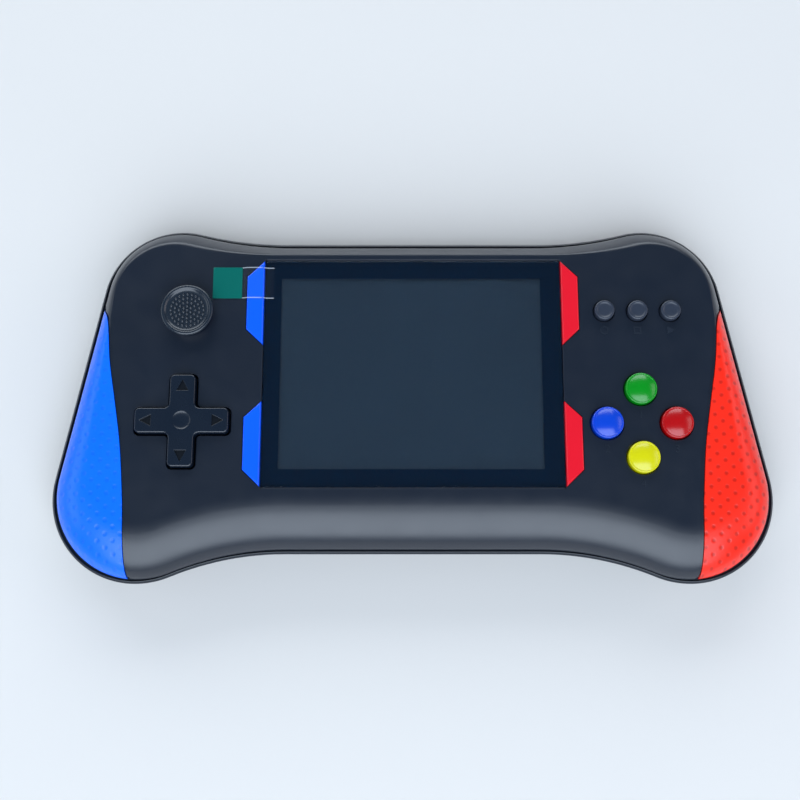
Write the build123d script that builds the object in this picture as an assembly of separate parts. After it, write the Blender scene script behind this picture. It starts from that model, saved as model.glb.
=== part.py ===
from build123d import *
import os
from math import acos, atan2, cos, degrees, radians, sin, sqrt, tan

# A handheld game console: two moulded shells, a 3.5 inch display, a thumbstick, a cross pad,
# seven push buttons, a power switch, a volume wheel and a battery under a sliding cover.
# Millimetres. X runs along the console, Y towards its top edge, Z up out of the face.
# The origin is on the back, under the middle of the console.

# The window leads: the casing's rim, half of it drawn as circles and straights that touch,
# stands round it by these margins
window_half_width = 40.0
window_half_height = 31.1
window_y = 6.4
shoulder_reach = 24.5
shoulder_drop = 17.8
shoulder_radius = 21.5
lobe_reach = 33.5
lobe_lift = 15.5
lobe_radius = 23.3
top_margin = 7.95
bottom_margin = 16.6
top_waist_radius = 100.0
bottom_waist_radius = 80.0

# Heights
parting_z = 12.0
face_z = 21.0

# How far the front shell rolls off between its foot and the flat face
foot_inset = 1.05
top_slope_inset = 5.1
bottom_roll_inset = 13.95
shoulder_roll = 3.45
shoulder_roll_x = 1.5
shoulder_roll_y = -2.55
lobe_roll = 10.25
lobe_roll_x = -1.0
lobe_roll_y = 3.8
# Places up the roll where a section is taken, as angles on a quarter ellipse: more of them for
# the face than for the back, and only the two ends for what stays inside
outer_angles = [0.0, 15.0, 30.0, 50.0, 70.0, 90.0]
back_angles = [0.0, 30.0, 60.0, 90.0]
inner_angles = [0.0, 90.0]
# The top wall is two flat facets: this share of the slope is used at this share of the height
facet_height_share = 0.5
facet_slope_share = 0.38
# A parallel inner surface pulls in this share of its depth along the edge of the flat face
edge_share = 0.45

# Walls and fits
front_wall = 2.0
grip_wall = 1.6
rear_wall = 2.2
back_roll = 9.0
seam = 0.15
slide_gap = 0.2
seat_gap = 0.05
overrun = 1.0
# Keys and their holes have this many sides, hidden posts and screws fewer; bevels lean half steep
key_sides = 24
stub_sides = 8
corner_steps = 3
half_steep = 45.0
locator_length = 6.0
locator_thickness = 1.0
locator_depth = 1.5
locator_x = 18.0

# Coloured grip panels: the inner edge, as shares of the half length and the half height
panel_foot = 0.35
# Inside, the panel steps up twice to clear the shell: how far in, and how far under the face
panel_low_inset = 4.2
panel_low_drop = 3.8
panel_high_inset = 7.4
panel_high_drop = 1.8
panel_edge_shares = [
    (0.904, 0.671),
    (0.877, 0.521),
    (0.850, 0.421),
    (0.838, 0.195),
    (0.818, -0.028),
    (0.7996, -0.248),
    (0.788, -0.464),
    (0.781, -0.678),
    (0.777, -1.080),
]
thick_grip_share = 0.78
raised_ceiling_inset = 0.5

# Window, display and its tray
window_thickness = 1.3
window_sink = 0.2
ledge_width = 3.2
ledge_thickness = 0.8
display_margin_x = 1.7
display_margin_y = 0.1
display_thickness = 2.6
tray_wall = 0.7
tray_floor = 0.6
tray_leg_radius = 1.2
skirt_wall = 1.2
skirt_depth = 2.7
flex_width = 20.0
flex_thickness = 0.3
flex_run = 11.0
flex_bend = 0.8
flex_lift = 10.0
flex_slot = 1.2
connector_depth = 4.0
connector_height = 1.2

# Accents beside the window, raised above the face
accent_width = 4.8
accent_upper_gap = 0.2
accent_upper_bottom = 7.3
accent_lower_top = -8.1
accent_lower_gap = 0.1
accent_corner_slant = 4.5
accent_middle_slant = 4.4
accent_sink = 1.0
accent_rise = 0.5
accent_chamfer = 0.35
accent_bevel = 1.0

# Pull strip of the clear film on the window
strip_drop = 2.0
strip_width = 8.8
strip_thickness = 0.15
strip_lap = 2.4
tab_width = 7.9
tab_gap = 1.4

# Main board
board_drop = 0.3
board_thickness = 1.2
board_inset = 4.6
board_reach = 3.5
board_top_margin = 7.45
board_bottom_margin = 8.3
board_screw_reach = 6.5
board_screw_top_inset = 6.5
board_screw_bottom_inset = 5.5
board_boss_radius = 2.3
board_screw_radius = 0.95
board_screw_head_radius = 1.8
board_screw_head = 1.1
board_screw_length = 5.0
pilot_gap = 0.05
boss_gap = 0.5

# Casing screws
shell_boss_radius = 3.0
shell_boss_end = 2.8
rear_boss_radius = 3.5
shell_screw_radius = 1.25
shell_screw_head_radius = 2.4
shell_screw_head = 1.8
shell_screw_length = 9.5
shell_screw_sink = 3.2
shell_screw_bridge = 1.0
top_screw_offset_x = 0.5
top_screw_offset_y = 10.0
lobe_screw_offset_x = 9.5
lobe_screw_offset_y = 1.8
bottom_screw_inset = 8.6

# Thumbstick: a cap that slides both ways over the face
stick_inset_x = 4.2
stick_inset_y = 5.15
stick_travel = 1.6
stick_cap_radius = 7.0
stick_cap_foot_radius = 6.2
stick_cap_height = 3.2
stick_cap_gap = 0.6
stick_rim_round = 0.6
stick_dish = 0.6
stick_neck_radius = 3.0
stick_skirt_radius = 8.2
stick_skirt_thickness = 0.8
stick_skirt_gap = 0.3
stick_stem_half = 1.6
stick_stem_foot = 0.5
stick_running_gap = 0.08
carriage_half_width = 4.2
carriage_half_length = 7.3
carriage_thickness = 1.0
stick_housing_wall = 1.2
stick_housing_floor = 0.9
stick_housing_cover = 0.8
stick_cover_gap = 0.6

# Cross pad, which rocks on a ball
pad_inset_x = 12.6
pad_drop = 29.7
pad_span = 24.7
pad_arm = 6.7
pad_corner = 1.3
pad_rise = 2.0
pad_edge_round = 0.5
pad_gap = 0.45
pad_tilt = 3.5
pad_flange_radius = 12.9
pad_flange_thickness = 1.1
pad_flange_air = 0.4
pad_ball_radius = 1.9
pad_ball_gap = 0.06
pad_ball_drop = 1.2
pad_ball_lean = 15.0
pad_cup_radius = 3.4
pad_cup_lift = 0.5
pad_post_radius = 3.2
pad_post_foot = 2.5
pad_stub_gap = 0.1
pad_stub_radius = 1.9
pad_stub_reach = 9.0
pad_dish_radius = 2.5
pad_dish_depth = 0.35
pad_arrow_reach = 9.5
pad_arrow_size = 2.9
pad_arrow_depth = 0.3

# Push buttons
button_cross_inset_x = 13.0
button_cross_inset_y = 35.35
button_spacing = 9.2
button_radius = 4.3
button_rise = 1.5
button_crown = 0.35
button_crown_lean = 75
button_edge = 0.45
button_hole_gap = 0.2
button_flange = 1.1
button_flange_thickness = 1.0
button_stem_half = 1.7
button_stem_gap = 0.1
button_travel = 1.2
menu_inset_x = 4.0
menu_inset_y = 4.55
menu_spacing = 8.9
menu_radius = 2.7
menu_rise = 1.3
menu_dish = 0.25
menu_edge = 0.4
menu_flange = 0.8
menu_stem_half = 1.1

# Rubber contact sheets
membrane_thickness = 0.8
dome_stroke_share = 0.6
dome_foot = 1.2
membrane_margin = 5.5
menu_membrane_margin = 3.2

# Battery, its bay and its sliding cover
battery_length = 53.0
battery_width = 34.0
battery_thickness = 5.8
battery_y = -1.0
battery_gap = 0.3
battery_round = 0.8
bay_wall = 1.2
bay_liner = 1.4
cover_half_width = 32.0
cover_top_gap = 2.2
cover_sink = 0.3
cover_thickness = 1.8
cover_tongue = 1.0
cover_tongue_thickness = 0.8
cover_tongue_lift = 0.5
cover_tongue_end = 6.0
grip_rib_width = 0.8
grip_rib_pitch = 1.8
grip_rib_count = 4
grip_rib_length = 16.0
grip_rib_depth = 0.35
grip_rib_y = 8.0
contact_width = 8.0
contact_depth = 2.4
contact_height = 4.2
contact_pin = 0.5
contact_pins = 3

# Speaker in the left grip
speaker_inset_x = 13.0
speaker_offset_y = 2.5
speaker_radius = 10.0
speaker_depth = 4.2
speaker_frame = 2.4
speaker_skin = 0.8
speaker_magnet_radius = 6.5
speaker_cone_radius = 7.6
speaker_cap_radius = 2.6
speaker_seat_wall = 1.0
speaker_seat_height = 2.6
sound_slot_width = 1.4
sound_slot_pitch = 3.2
sound_slot_count = 5
sound_slot_length = 13.0

# Fittings along the top edge
jack_x = 8.0
jack_half_width = 3.2
jack_height = 5.2
jack_length = 11.6
jack_nose_radius = 2.6
jack_bore_radius = 1.8
jack_end_wall = 0.8
socket_x = -8.0
socket_half_width = 3.9
socket_height = 2.9
socket_length = 5.4
socket_skin = 0.35
socket_tongue = 0.7
socket_tongue_half_width = 2.7
opening_gap = 0.4
switch_x = -28.0
switch_half_width = 4.6
switch_height = 3.7
switch_depth = 3.7
switch_travel = 3.0
knob_half_width = 1.0
knob_height = 1.8
knob_pad_half_width = 1.6
knob_pad_height = 2.6
knob_pad_thickness = 0.7
knob_root = 2.2
scoop_depth = 0.9
scoop_margin = 1.0
wheel_x = 28.0
wheel_radius = 6.5
wheel_thickness = 2.2
wheel_proud = 0.3
wheel_teeth = 24
wheel_tooth_depth = 0.25
wheel_bore_radius = 1.5
wheel_shaft_gap = 0.05
wheel_gap = 0.25
wheel_base_radius = 3.4
wheel_base_thickness = 0.9
wheel_head_radius = 2.4
wheel_head_thickness = 0.6

# Chips on the board
processor_size = 11.0
memory_length = 12.0
memory_width = 8.0
chip_height = 1.1
chip_spread = 16.0

shoulder_x = window_half_width + shoulder_reach
lobe_x = window_half_width + lobe_reach
top_edge_y = window_y + window_half_height + top_margin
bottom_edge_y = window_y - window_half_height - bottom_margin
shoulder_y = top_edge_y - shoulder_drop
lobe_y = bottom_edge_y + lobe_lift
half_length = lobe_x + lobe_radius
half_height = shoulder_y + shoulder_radius
board_top_y = top_edge_y - board_top_margin
board_bottom_y = bottom_edge_y + board_bottom_margin
ceiling_z = face_z - front_wall
board_top = parting_z - board_drop
board_bottom = board_top - board_thickness
dome_height = button_travel / dome_stroke_share
dome_top = board_top + membrane_thickness + dome_height


def block(x0, x1, y0, y1, z0, z1):
    """A box between two corners."""
    low = (Align.MIN, Align.MIN, Align.MIN)
    return Pos(x0, y0, z0) * Box(x1 - x0, y1 - y0, z1 - z0, align=low)


def disc(x, y, z0, z1, radius):
    """An upright cylinder between two heights."""
    seat = (Align.CENTER, Align.CENTER, Align.MIN)
    return Pos(x, y, z0) * Cylinder(radius, z1 - z0, align=seat)


def stub(x, y, z0, z1, radius):
    """A many-sided post between two heights, for what stays hidden."""
    section = RegularPolygon(radius, stub_sides)
    return Pos(x, y, z0) * extrude(section, z1 - z0)


def sided(radius, bevel=0.0):
    """The outline of a key, near enough round to turn as one."""
    return RegularPolygon(radius - bevel, key_sides)


def keyhole(x, y, radius):
    """What a key's hole takes out of the face."""
    return Pos(x, y, ceiling_z - overrun) * extrude(sided(radius), front_wall + 2 * overrun)


def lying(x, y0, y1, z, radius):
    """A cylinder along Y between two places."""
    return Pos(x, (y0 + y1) / 2, z) * Rot(X=90) * Cylinder(radius, y1 - y0)


def prism(wire, z0, z1):
    """A closed outline raised between two heights."""
    return Pos(0, 0, z0) * extrude(make_face(wire), z1 - z0)


def mirrored(piece):
    return mirror(piece, about=Plane.YZ)


def arc_about(centre, start, end):
    """The shorter arc about a centre from one point to another."""
    ux, uy = start[0] - centre[0], start[1] - centre[1]
    vx, vy = end[0] - centre[0], end[1] - centre[1]
    radius = sqrt(ux * ux + uy * uy)
    angle = atan2(uy + vy, ux + vx)
    middle = (centre[0] + radius * cos(angle), centre[1] + radius * sin(angle))
    return start, middle, end


# Outline of the console at any level: what changes from level to level is its form
rim_form = (
    top_edge_y,
    bottom_edge_y,
    (shoulder_x, shoulder_y, shoulder_radius),
    (lobe_x, lobe_y, lobe_radius),
)


def shrunk(form, inset):
    """The form whose outline runs parallel to this one, further in."""
    top, bottom, (sx, sy, sr), (lx, ly, lr) = form
    return top - inset, bottom + inset, (sx, sy, sr - inset), (lx, ly, lr - inset)


foot_form = shrunk(rim_form, foot_inset)
face_form = (
    foot_form[0] - top_slope_inset,
    foot_form[1] + bottom_roll_inset,
    (shoulder_x + shoulder_roll_x, shoulder_y + shoulder_roll_y, foot_form[2][2] - shoulder_roll),
    (lobe_x + lobe_roll_x, lobe_y + lobe_roll_y, foot_form[3][2] - lobe_roll),
)


def between(low, high, slope, roll):
    """A form part way from one to another: slope for the top wall, roll for the grips."""

    def mix(a, b, share):
        return a + (b - a) * share

    mean = (slope + roll) / 2
    shoulder = tuple(mix(a, b, mean) for a, b in zip(low[2], high[2]))
    lobe = tuple(mix(a, b, roll) for a, b in zip(low[3], high[3]))
    return mix(low[0], high[0], slope), mix(low[1], high[1], roll), shoulder, lobe


def outline(form, z=0.0):
    """The closed outline of a form, as arcs and straights that run into each other."""
    top, bottom, (sx, sy, sr), (lx, ly, lr) = form
    top_r = top_waist_radius + (top_edge_y - top)
    bottom_r = bottom_waist_radius + (bottom - bottom_edge_y)
    waist_x = sx - sqrt((top_r + sr) ** 2 - (top + top_r - sy) ** 2)
    waist = (waist_x, top + top_r)
    share = top_r / (top_r + sr)
    on_shoulder = (waist_x + (sx - waist_x) * share, waist[1] + (sy - waist[1]) * share)
    dx, dy = sx - lx, sy - ly
    reach = sqrt(dx * dx + dy * dy)
    normal = atan2(dy, dx) - acos((lr - sr) / reach)
    nx, ny = cos(normal), sin(normal)
    side_top = (sx + sr * nx, sy + sr * ny)
    side_bottom = (lx + lr * nx, ly + lr * ny)
    belly_x = lx - sqrt((bottom_r + lr) ** 2 - (ly - (bottom - bottom_r)) ** 2)
    belly = (belly_x, bottom - bottom_r)
    share = bottom_r / (bottom_r + lr)
    on_lobe = (belly_x + (lx - belly_x) * share, belly[1] + (ly - belly[1]) * share)
    right = [
        arc_about(waist, (waist_x, top), on_shoulder),
        arc_about((sx, sy), on_shoulder, side_top),
        (side_top, side_bottom),
        arc_about((lx, ly), side_bottom, on_lobe),
        arc_about(belly, on_lobe, (belly_x, bottom)),
    ]
    left = [tuple((-x, y) for x, y in reversed(run)) for run in reversed(right)]
    runs = [((-waist_x, top), (waist_x, top))]
    runs += right
    runs += [((belly_x, bottom), (-belly_x, bottom))]
    runs += left
    edges = []
    for run in runs:
        points = [Vector(x, y, z) for x, y in run]
        if len(points) == 2:
            edges.append(Edge.make_line(*points))
        else:
            edges.append(Edge.make_three_point_arc(*points))
    return Wire(edges)


def crown(depth, angles=inner_angles):
    """The front shell's outer form, or a parallel one this deep inside it."""
    low = shrunk(foot_form, depth)
    high = shrunk(face_form, depth * edge_share)
    rise = face_z - depth - parting_z
    wires = []
    for angle in angles:
        height = sin(radians(angle))
        roll = 1 - cos(radians(angle))
        if height <= facet_height_share:
            slope = facet_slope_share * height / facet_height_share
        else:
            rest = (height - facet_height_share) / (1 - facet_height_share)
            slope = facet_slope_share + (1 - facet_slope_share) * rest
        wires.append(outline(between(low, high, slope, roll), parting_z + rise * height))
    return Solid.make_loft(wires, ruled=True)


def basin(depth, angles=inner_angles):
    """The rear shell's outer form, or a parallel one this deep inside it."""
    low = shrunk(rim_form, depth)
    drop = parting_z - depth
    roll = back_roll - depth * (1 - edge_share)
    wires = []
    for angle in reversed(angles):
        inset = roll * (1 - cos(radians(angle)))
        wires.append(outline(shrunk(low, inset), parting_z - drop * sin(radians(angle))))
    return Solid.make_loft(wires, ruled=True)


def panel_region(gap):
    """The upright space over the right grip panel, grown past its inner edge by a gap."""
    edge = [(x * half_length - gap, y * half_height) for x, y in panel_edge_shares]
    far = half_length + overrun
    around = Polyline(*edge, (far, edge[-1][1]), (far, edge[0][1]), close=True)
    foot = parting_z + panel_foot - gap
    return prism(around, foot, face_z + overrun)


# Places on the face
stick_x = -(shoulder_x - stick_inset_x)
stick_y = shoulder_y - stick_inset_y
pad_x = -(lobe_x - pad_inset_x)
pad_y = stick_y - pad_drop
cross_x = lobe_x - button_cross_inset_x
cross_y = shoulder_y - button_cross_inset_y
menu_x = shoulder_x - menu_inset_x
menu_y = shoulder_y - menu_inset_y
button_places = {
    "green_button": (cross_x, cross_y + button_spacing),
    "blue_button": (cross_x - button_spacing, cross_y),
    "red_button": (cross_x + button_spacing, cross_y),
    "yellow_button": (cross_x, cross_y - button_spacing),
}
menu_places = {
    "reset_button": (menu_x - menu_spacing, menu_y),
    "select_button": (menu_x, menu_y),
    "start_button": (menu_x + menu_spacing, menu_y),
}
shell_screw_places = []
for side in (-1, 1):
    shell_screw_places += [
        (side * (shoulder_x + top_screw_offset_x), shoulder_y + top_screw_offset_y),
        (side * (lobe_x + lobe_screw_offset_x), lobe_y + lobe_screw_offset_y),
        (side * window_half_width, bottom_edge_y + bottom_screw_inset),
    ]
board_screw_places = [
    (side * (window_half_width + board_screw_reach), y)
    for side in (-1, 1)
    for y in (board_top_y - board_screw_top_inset, board_bottom_y + board_screw_bottom_inset)
]

# Heights of the display stack, from the window down
window_top = face_z - window_sink
window_floor = window_top - window_thickness
ledge_bottom = window_floor - ledge_thickness
panel_half_width = window_half_width - display_margin_x
panel_half_height = window_half_height - display_margin_y
display_top = ledge_bottom - seat_gap
display_bottom = display_top - display_thickness
tray_inner_x = panel_half_width + seat_gap
tray_inner_y = panel_half_height + seat_gap
tray_outer_x = tray_inner_x + tray_wall
tray_outer_y = tray_inner_y + tray_wall
tray_top = display_bottom - seat_gap
tray_bottom = tray_top - tray_floor
skirt_x = tray_outer_x + slide_gap
skirt_y = tray_outer_y + slide_gap


def centred(half_width, half_height, z0, z1):
    """A box centred on the window."""
    return block(
        -half_width, half_width, window_y - half_height, window_y + half_height, z0, z1
    )


# Accents: four coloured inlays, two on each side of the window
def accent(top, bottom, top_slant, bottom_slant, grow=0.0):
    """The right-hand inlay between two heights above the window's middle line."""
    inner = window_half_width + seam - grow
    outer = window_half_width + accent_width + grow
    high = window_y + top + grow
    low = window_y + bottom - grow
    corners = [
        (inner, high),
        (outer, high - top_slant),
        (outer, low + bottom_slant),
        (inner, low),
    ]
    floor = face_z - accent_sink
    roof = face_z + accent_rise
    body = prism(Polyline(*corners, close=True), floor, roof)
    if grow:
        return body
    rim = body.faces().sort_by(Axis.Z)[-1].edges()
    body = chamfer(rim, accent_chamfer)
    lean = Plane.XZ * make_face(
        Polyline(
            (inner - overrun, roof + overrun),
            (inner + accent_bevel + overrun, roof + overrun),
            (inner - overrun, roof - accent_bevel - overrun),
            close=True,
        )
    )
    reach = high - low + overrun
    return body - Pos(0, (high + low) / 2, 0) * extrude(lean, reach, both=True)


accents = {
    "upper": (
        window_half_height - accent_upper_gap, accent_upper_bottom,
        accent_corner_slant, accent_middle_slant,
    ),
    "lower": (
        accent_lower_top, accent_lower_gap - window_half_height,
        accent_middle_slant, accent_corner_slant,
    ),
}


# Front shell
def cross_sketch(grow, inset=0.0):
    """The cross pad's outline, its outer corners rounded in short steps."""
    arm = pad_arm / 2 + grow - inset
    reach = pad_span / 2 + grow - inset
    bend = pad_corner - inset
    quarter = []
    for centre, first in (((reach - bend, -arm + bend), -90), ((reach - bend, arm - bend), 0)):
        for step in range(corner_steps + 1):
            angle = radians(first + 90 * step / corner_steps)
            quarter.append((centre[0] + bend * cos(angle), centre[1] + bend * sin(angle)))
    quarter.append((arm, arm))
    points = []
    for turn in range(4):
        for x, y in quarter:
            points.append((x, y))
        quarter = [(-y, x) for x, y in quarter]
    return make_face(Polyline(*points, close=True))


def stepped(inset, drop):
    """The two steps that a grip panel fits over, further in and further down by these."""
    low = outline(shrunk(foot_form, panel_low_inset + inset))
    high = outline(shrunk(foot_form, panel_high_inset + inset))
    low_top = face_z - panel_low_drop - drop
    high_top = face_z - panel_high_drop - drop
    return prism(low, parting_z, low_top) + prism(high, parting_z, high_top)


def inner_space():
    """The hollow under the front shell, raised in the middle, where no panel lies over it."""
    thick_x = thick_grip_share * half_length
    flat = prism(outline(shrunk(face_form, raised_ceiling_inset)), parting_z, ceiling_z)
    middle = flat & block(-thick_x, thick_x, -half_height, half_height, parting_z, ceiling_z)
    return stepped(grip_wall, grip_wall) + middle


def locators():
    """Tabs on the front shell that slip inside the rear one, at the top and bottom edges."""
    lean = (back_roll - rear_wall * (1 - edge_share)) / (parting_z - rear_wall)
    inset = rear_wall + lean * locator_depth + seam
    tabs = []
    for x in (-locator_x, locator_x):
        for y in (top_edge_y - inset, bottom_edge_y + inset + locator_thickness):
            tabs.append(block(
                x - locator_length / 2, x + locator_length / 2, y - locator_thickness, y,
                parting_z - locator_depth, parting_z + seam,
            ))
    return tabs


stick_hole = stick_neck_radius + stick_travel * sqrt(2) + slide_gap * 2


def front_shell():
    body = crown(0, outer_angles) - inner_space()
    for tab in locators():
        body += tab
    inside = crown(ledge_thickness)
    frame = centred(skirt_x + skirt_wall, skirt_y + skirt_wall, ledge_bottom - skirt_depth, window_floor)
    frame -= centred(skirt_x, skirt_y, ledge_bottom - skirt_depth - overrun, ledge_bottom)
    body += frame & inside
    for x, y in shell_screw_places:
        low = parting_z - shell_boss_end
        post = stub(x, y, low, ceiling_z + seam, shell_boss_radius)
        above = post & inside
        below = stub(x, y, low, parting_z + seam, shell_boss_radius)
        body += above + below
        body -= stub(x, y, low - overrun, low + shell_screw_length, shell_screw_radius + pilot_gap)
    for x, y in board_screw_places:
        body += stub(x, y, board_top, ceiling_z + seam, board_boss_radius)
        depth = board_top + board_screw_length
        body -= stub(x, y, board_top - overrun, depth, board_screw_radius + pilot_gap)
    body -= centred(skirt_x, skirt_y, board_top - overrun, ledge_bottom)
    body -= centred(window_half_width + seam, window_half_height + seam, window_floor, face_z + overrun)
    body -= centred(
        window_half_width - ledge_width,
        window_half_height - ledge_width,
        ledge_bottom - overrun,
        face_z,
    )
    for top, bottom, top_slant, bottom_slant in accents.values():
        pocket = accent(top, bottom, top_slant, bottom_slant, seam)
        body -= pocket
        body -= mirrored(pocket)
    body -= keyhole(stick_x, stick_y, stick_hole)
    body -= Pos(pad_x, pad_y, ceiling_z - overrun) * extrude(
        cross_sketch(pad_gap), front_wall + 2 * overrun
    )
    for x, y in button_places.values():
        body -= keyhole(x, y, button_radius + button_hole_gap)
    for x, y in menu_places.values():
        body -= keyhole(x, y, menu_radius + button_hole_gap)
    recess = panel_region(seam) - stepped(seam, seam)
    body -= recess
    body -= mirrored(recess)
    return body


# Grip panels: a skin of the same outer form, seated in the shell's recess
def right_grip_panel():
    return (crown(0, outer_angles) & panel_region(0)) - stepped(0, 0)


# Window, display, tray and its ribbon
def screen_window():
    plate = centred(window_half_width, window_half_height, window_floor, window_top)
    return chamfer(plate.faces().sort_by(Axis.Z)[-1].edges(), seam)


def display_panel():
    return centred(panel_half_width, panel_half_height, display_bottom, display_top)


flex_y = window_y - panel_half_height + flex_lift


def display_tray():
    tray = centred(tray_outer_x, tray_outer_y, tray_bottom, display_top - seat_gap)
    tray -= centred(tray_inner_x, tray_inner_y, tray_top, face_z)
    half = flex_width / 2 + flex_slot / 2
    tray -= block(
        -half, half, flex_y - flex_slot, flex_y + flex_slot, tray_bottom - overrun, face_z
    )
    inset = tray_leg_radius + tray_wall
    for side in (-1, 1):
        for end in (-1, 1):
            x = side * (tray_outer_x - inset)
            y = window_y + end * (tray_outer_y - inset)
            tray += block(
                x - tray_leg_radius, x + tray_leg_radius, y - tray_leg_radius, y + tray_leg_radius,
                board_top, tray_bottom + seat_gap,
            )
    return tray


def display_flex():
    """A ribbon from the back of the display down to its connector on the board."""
    top = display_bottom
    rest = board_top + connector_height
    path = FilletPolyline(
        (0, flex_y, top),
        (0, flex_y, rest + flex_thickness / 2),
        (0, flex_y + flex_run, rest + flex_thickness / 2),
        radius=flex_bend,
    )
    section = Plane(origin=(0, flex_y, top), z_dir=(0, 0, -1)) * Rectangle(flex_width, flex_thickness)
    return sweep(section, path)


def display_connector():
    half = flex_width / 2 + flex_slot
    end = flex_y + flex_run + seam
    return block(-half, half, end - connector_depth, end, board_top, board_top + connector_height)


# Pull strip and its green tab, lying over the upper left accent
def ribbon(points, thickness):
    """A thin strip whose profile follows points in the XZ plane."""
    under = [(x, z) for x, z in points]
    over = [(x, z + thickness) for x, z in reversed(points)]
    face = Plane.XZ * make_face(Polyline(*under, *over, close=True))
    return Pos(0, window_y + window_half_height - strip_drop, 0) * extrude(face, strip_width)


strip_air = seat_gap
accent_outer_x = window_half_width + accent_width
tab_inner_x = accent_outer_x + tab_gap


def film_strip():
    rise = accent_rise + strip_air
    points = [
        (strip_lap - window_half_width, window_top + strip_air),
        (-(window_half_width - accent_bevel), window_top + strip_air),
        (-(window_half_width + accent_bevel), face_z + rise),
        (-accent_outer_x, face_z + rise),
        (-(tab_inner_x - seam), face_z + strip_air),
        (-tab_inner_x, face_z + strip_air),
    ]
    return ribbon(points, strip_thickness)


def film_tab():
    points = [
        (-tab_inner_x, face_z + strip_air),
        (-(tab_inner_x + tab_width), face_z + strip_air),
    ]
    return ribbon(points, strip_thickness)


# Thumbstick: cap, carriage and housing, stacked on the board
stick_cap_bottom = face_z + stick_cap_gap
stick_cap_top = stick_cap_bottom + stick_cap_height
stick_skirt_top = ceiling_z - stick_skirt_gap
carriage_bottom = board_top + stick_housing_floor + stick_running_gap
carriage_top = carriage_bottom + carriage_thickness
stick_cover_bottom = carriage_top + stick_cover_gap
stick_cover_top = stick_cover_bottom + stick_housing_cover


def thumbstick_cap():
    rim = stick_cap_radius - stick_rim_round
    shoulder = stick_cap_top - stick_rim_round
    skirt_low = stick_skirt_top - stick_skirt_thickness
    lean = degrees(atan2(stick_cap_radius - stick_cap_foot_radius, shoulder - stick_cap_bottom))
    cap = extrude(sided(stick_cap_foot_radius), shoulder - stick_cap_bottom, taper=-lean)
    cap = Pos(0, 0, stick_cap_bottom) * cap
    cap += Pos(0, 0, shoulder) * extrude(sided(stick_cap_radius), stick_rim_round, taper=half_steep)
    hollow = extrude(sided(rim - stick_rim_round - stick_dish), stick_dish, taper=-half_steep)
    cap -= Pos(0, 0, stick_cap_top - stick_dish) * hollow
    cap = Pos(stick_x, stick_y, 0) * cap
    cap += stub(stick_x, stick_y, skirt_low, stick_skirt_top, stick_skirt_radius)
    cap += stub(stick_x, stick_y, stick_skirt_top, stick_cap_bottom, stick_neck_radius)
    half = stick_stem_half
    low = carriage_bottom + stick_stem_foot
    stem = block(
        stick_x - half, stick_x + half, stick_y - half, stick_y + half, low, skirt_low
    )
    return cap + stem


def thumbstick_carriage():
    """The plate that runs left and right and lets the stem run up and down in its slot."""
    half_x, half_y = carriage_half_width, carriage_half_length
    plate = block(
        stick_x - half_x, stick_x + half_x, stick_y - half_y, stick_y + half_y,
        carriage_bottom, carriage_top,
    )
    slot_x = stick_stem_half + stick_running_gap
    slot_y = stick_stem_half + stick_travel + slide_gap
    return plate - block(
        stick_x - slot_x, stick_x + slot_x, stick_y - slot_y, stick_y + slot_y,
        carriage_bottom - overrun, carriage_top + overrun,
    )


def thumbstick_housing():
    run_x = carriage_half_width + stick_travel + slide_gap
    run_y = carriage_half_length + stick_running_gap
    out_x = run_x + stick_housing_wall
    out_y = run_y + stick_housing_wall
    body = block(
        stick_x - out_x, stick_x + out_x, stick_y - out_y, stick_y + out_y,
        board_top, stick_cover_top,
    )
    body -= block(
        stick_x - run_x, stick_x + run_x, stick_y - run_y, stick_y + run_y,
        board_top + stick_housing_floor, stick_cover_bottom,
    )
    mouth = stick_stem_half + stick_travel + slide_gap
    return body - block(
        stick_x - mouth, stick_x + mouth, stick_y - mouth, stick_y + mouth,
        stick_cover_bottom - overrun, stick_cover_top + overrun,
    )


# Cross pad, its ball and the rubber sheet with the ball's post
pad_swing = pad_flange_radius * sin(radians(pad_tilt))
pad_flange_top = ceiling_z - pad_swing - pad_flange_air
pad_flange_bottom = pad_flange_top - pad_flange_thickness
pad_ball_z = pad_flange_bottom - pad_ball_drop
pad_top = face_z + pad_rise
pad_directions = [(1, 0), (0, 1), (-1, 0), (0, -1)]


def dpad_cross():
    edge_z = pad_top - pad_edge_round
    body = Pos(0, 0, pad_flange_bottom) * extrude(cross_sketch(0), edge_z - pad_flange_bottom)
    body += Pos(0, 0, edge_z) * extrude(cross_sketch(0), pad_edge_round, taper=half_steep)
    body += stub(0, 0, pad_flange_bottom, pad_flange_top, pad_flange_radius)
    body += stub(0, 0, pad_ball_z + pad_cup_lift, pad_flange_bottom, pad_cup_radius)
    for dx, dy in pad_directions:
        x, y = dx * pad_stub_reach, dy * pad_stub_reach
        body += stub(x, y, dome_top + pad_stub_gap, pad_flange_bottom, pad_stub_radius)
    body -= ball_seat(1)
    body -= Pos(0, 0, pad_top - pad_dish_depth) * extrude(sided(pad_dish_radius), pad_dish_depth)
    for turn in (0, 90, 180, 270):
        tip = pad_arrow_reach + pad_arrow_size / 2
        foot = pad_arrow_reach - pad_arrow_size / 2
        mark = Polyline(
            (tip, 0), (foot, pad_arrow_size / 2), (foot, -pad_arrow_size / 2), close=True
        )
        body -= Rot(Z=turn) * prism(mark, pad_top - pad_arrow_depth, pad_top + overrun)
    return Pos(pad_x, pad_y, 0) * body


def ball_seat(side):
    """The coned hollow that holds the ball from above (1) or from below (-1)."""
    wide = (pad_ball_radius + pad_ball_gap) * sqrt(2)
    upper = Pos(0, 0, pad_ball_z) * extrude(
        RegularPolygon(wide, stub_sides), wide - pad_ball_gap, taper=half_steep
    )
    return upper if side > 0 else mirror(upper, about=Plane.XY.offset(pad_ball_z))


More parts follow.
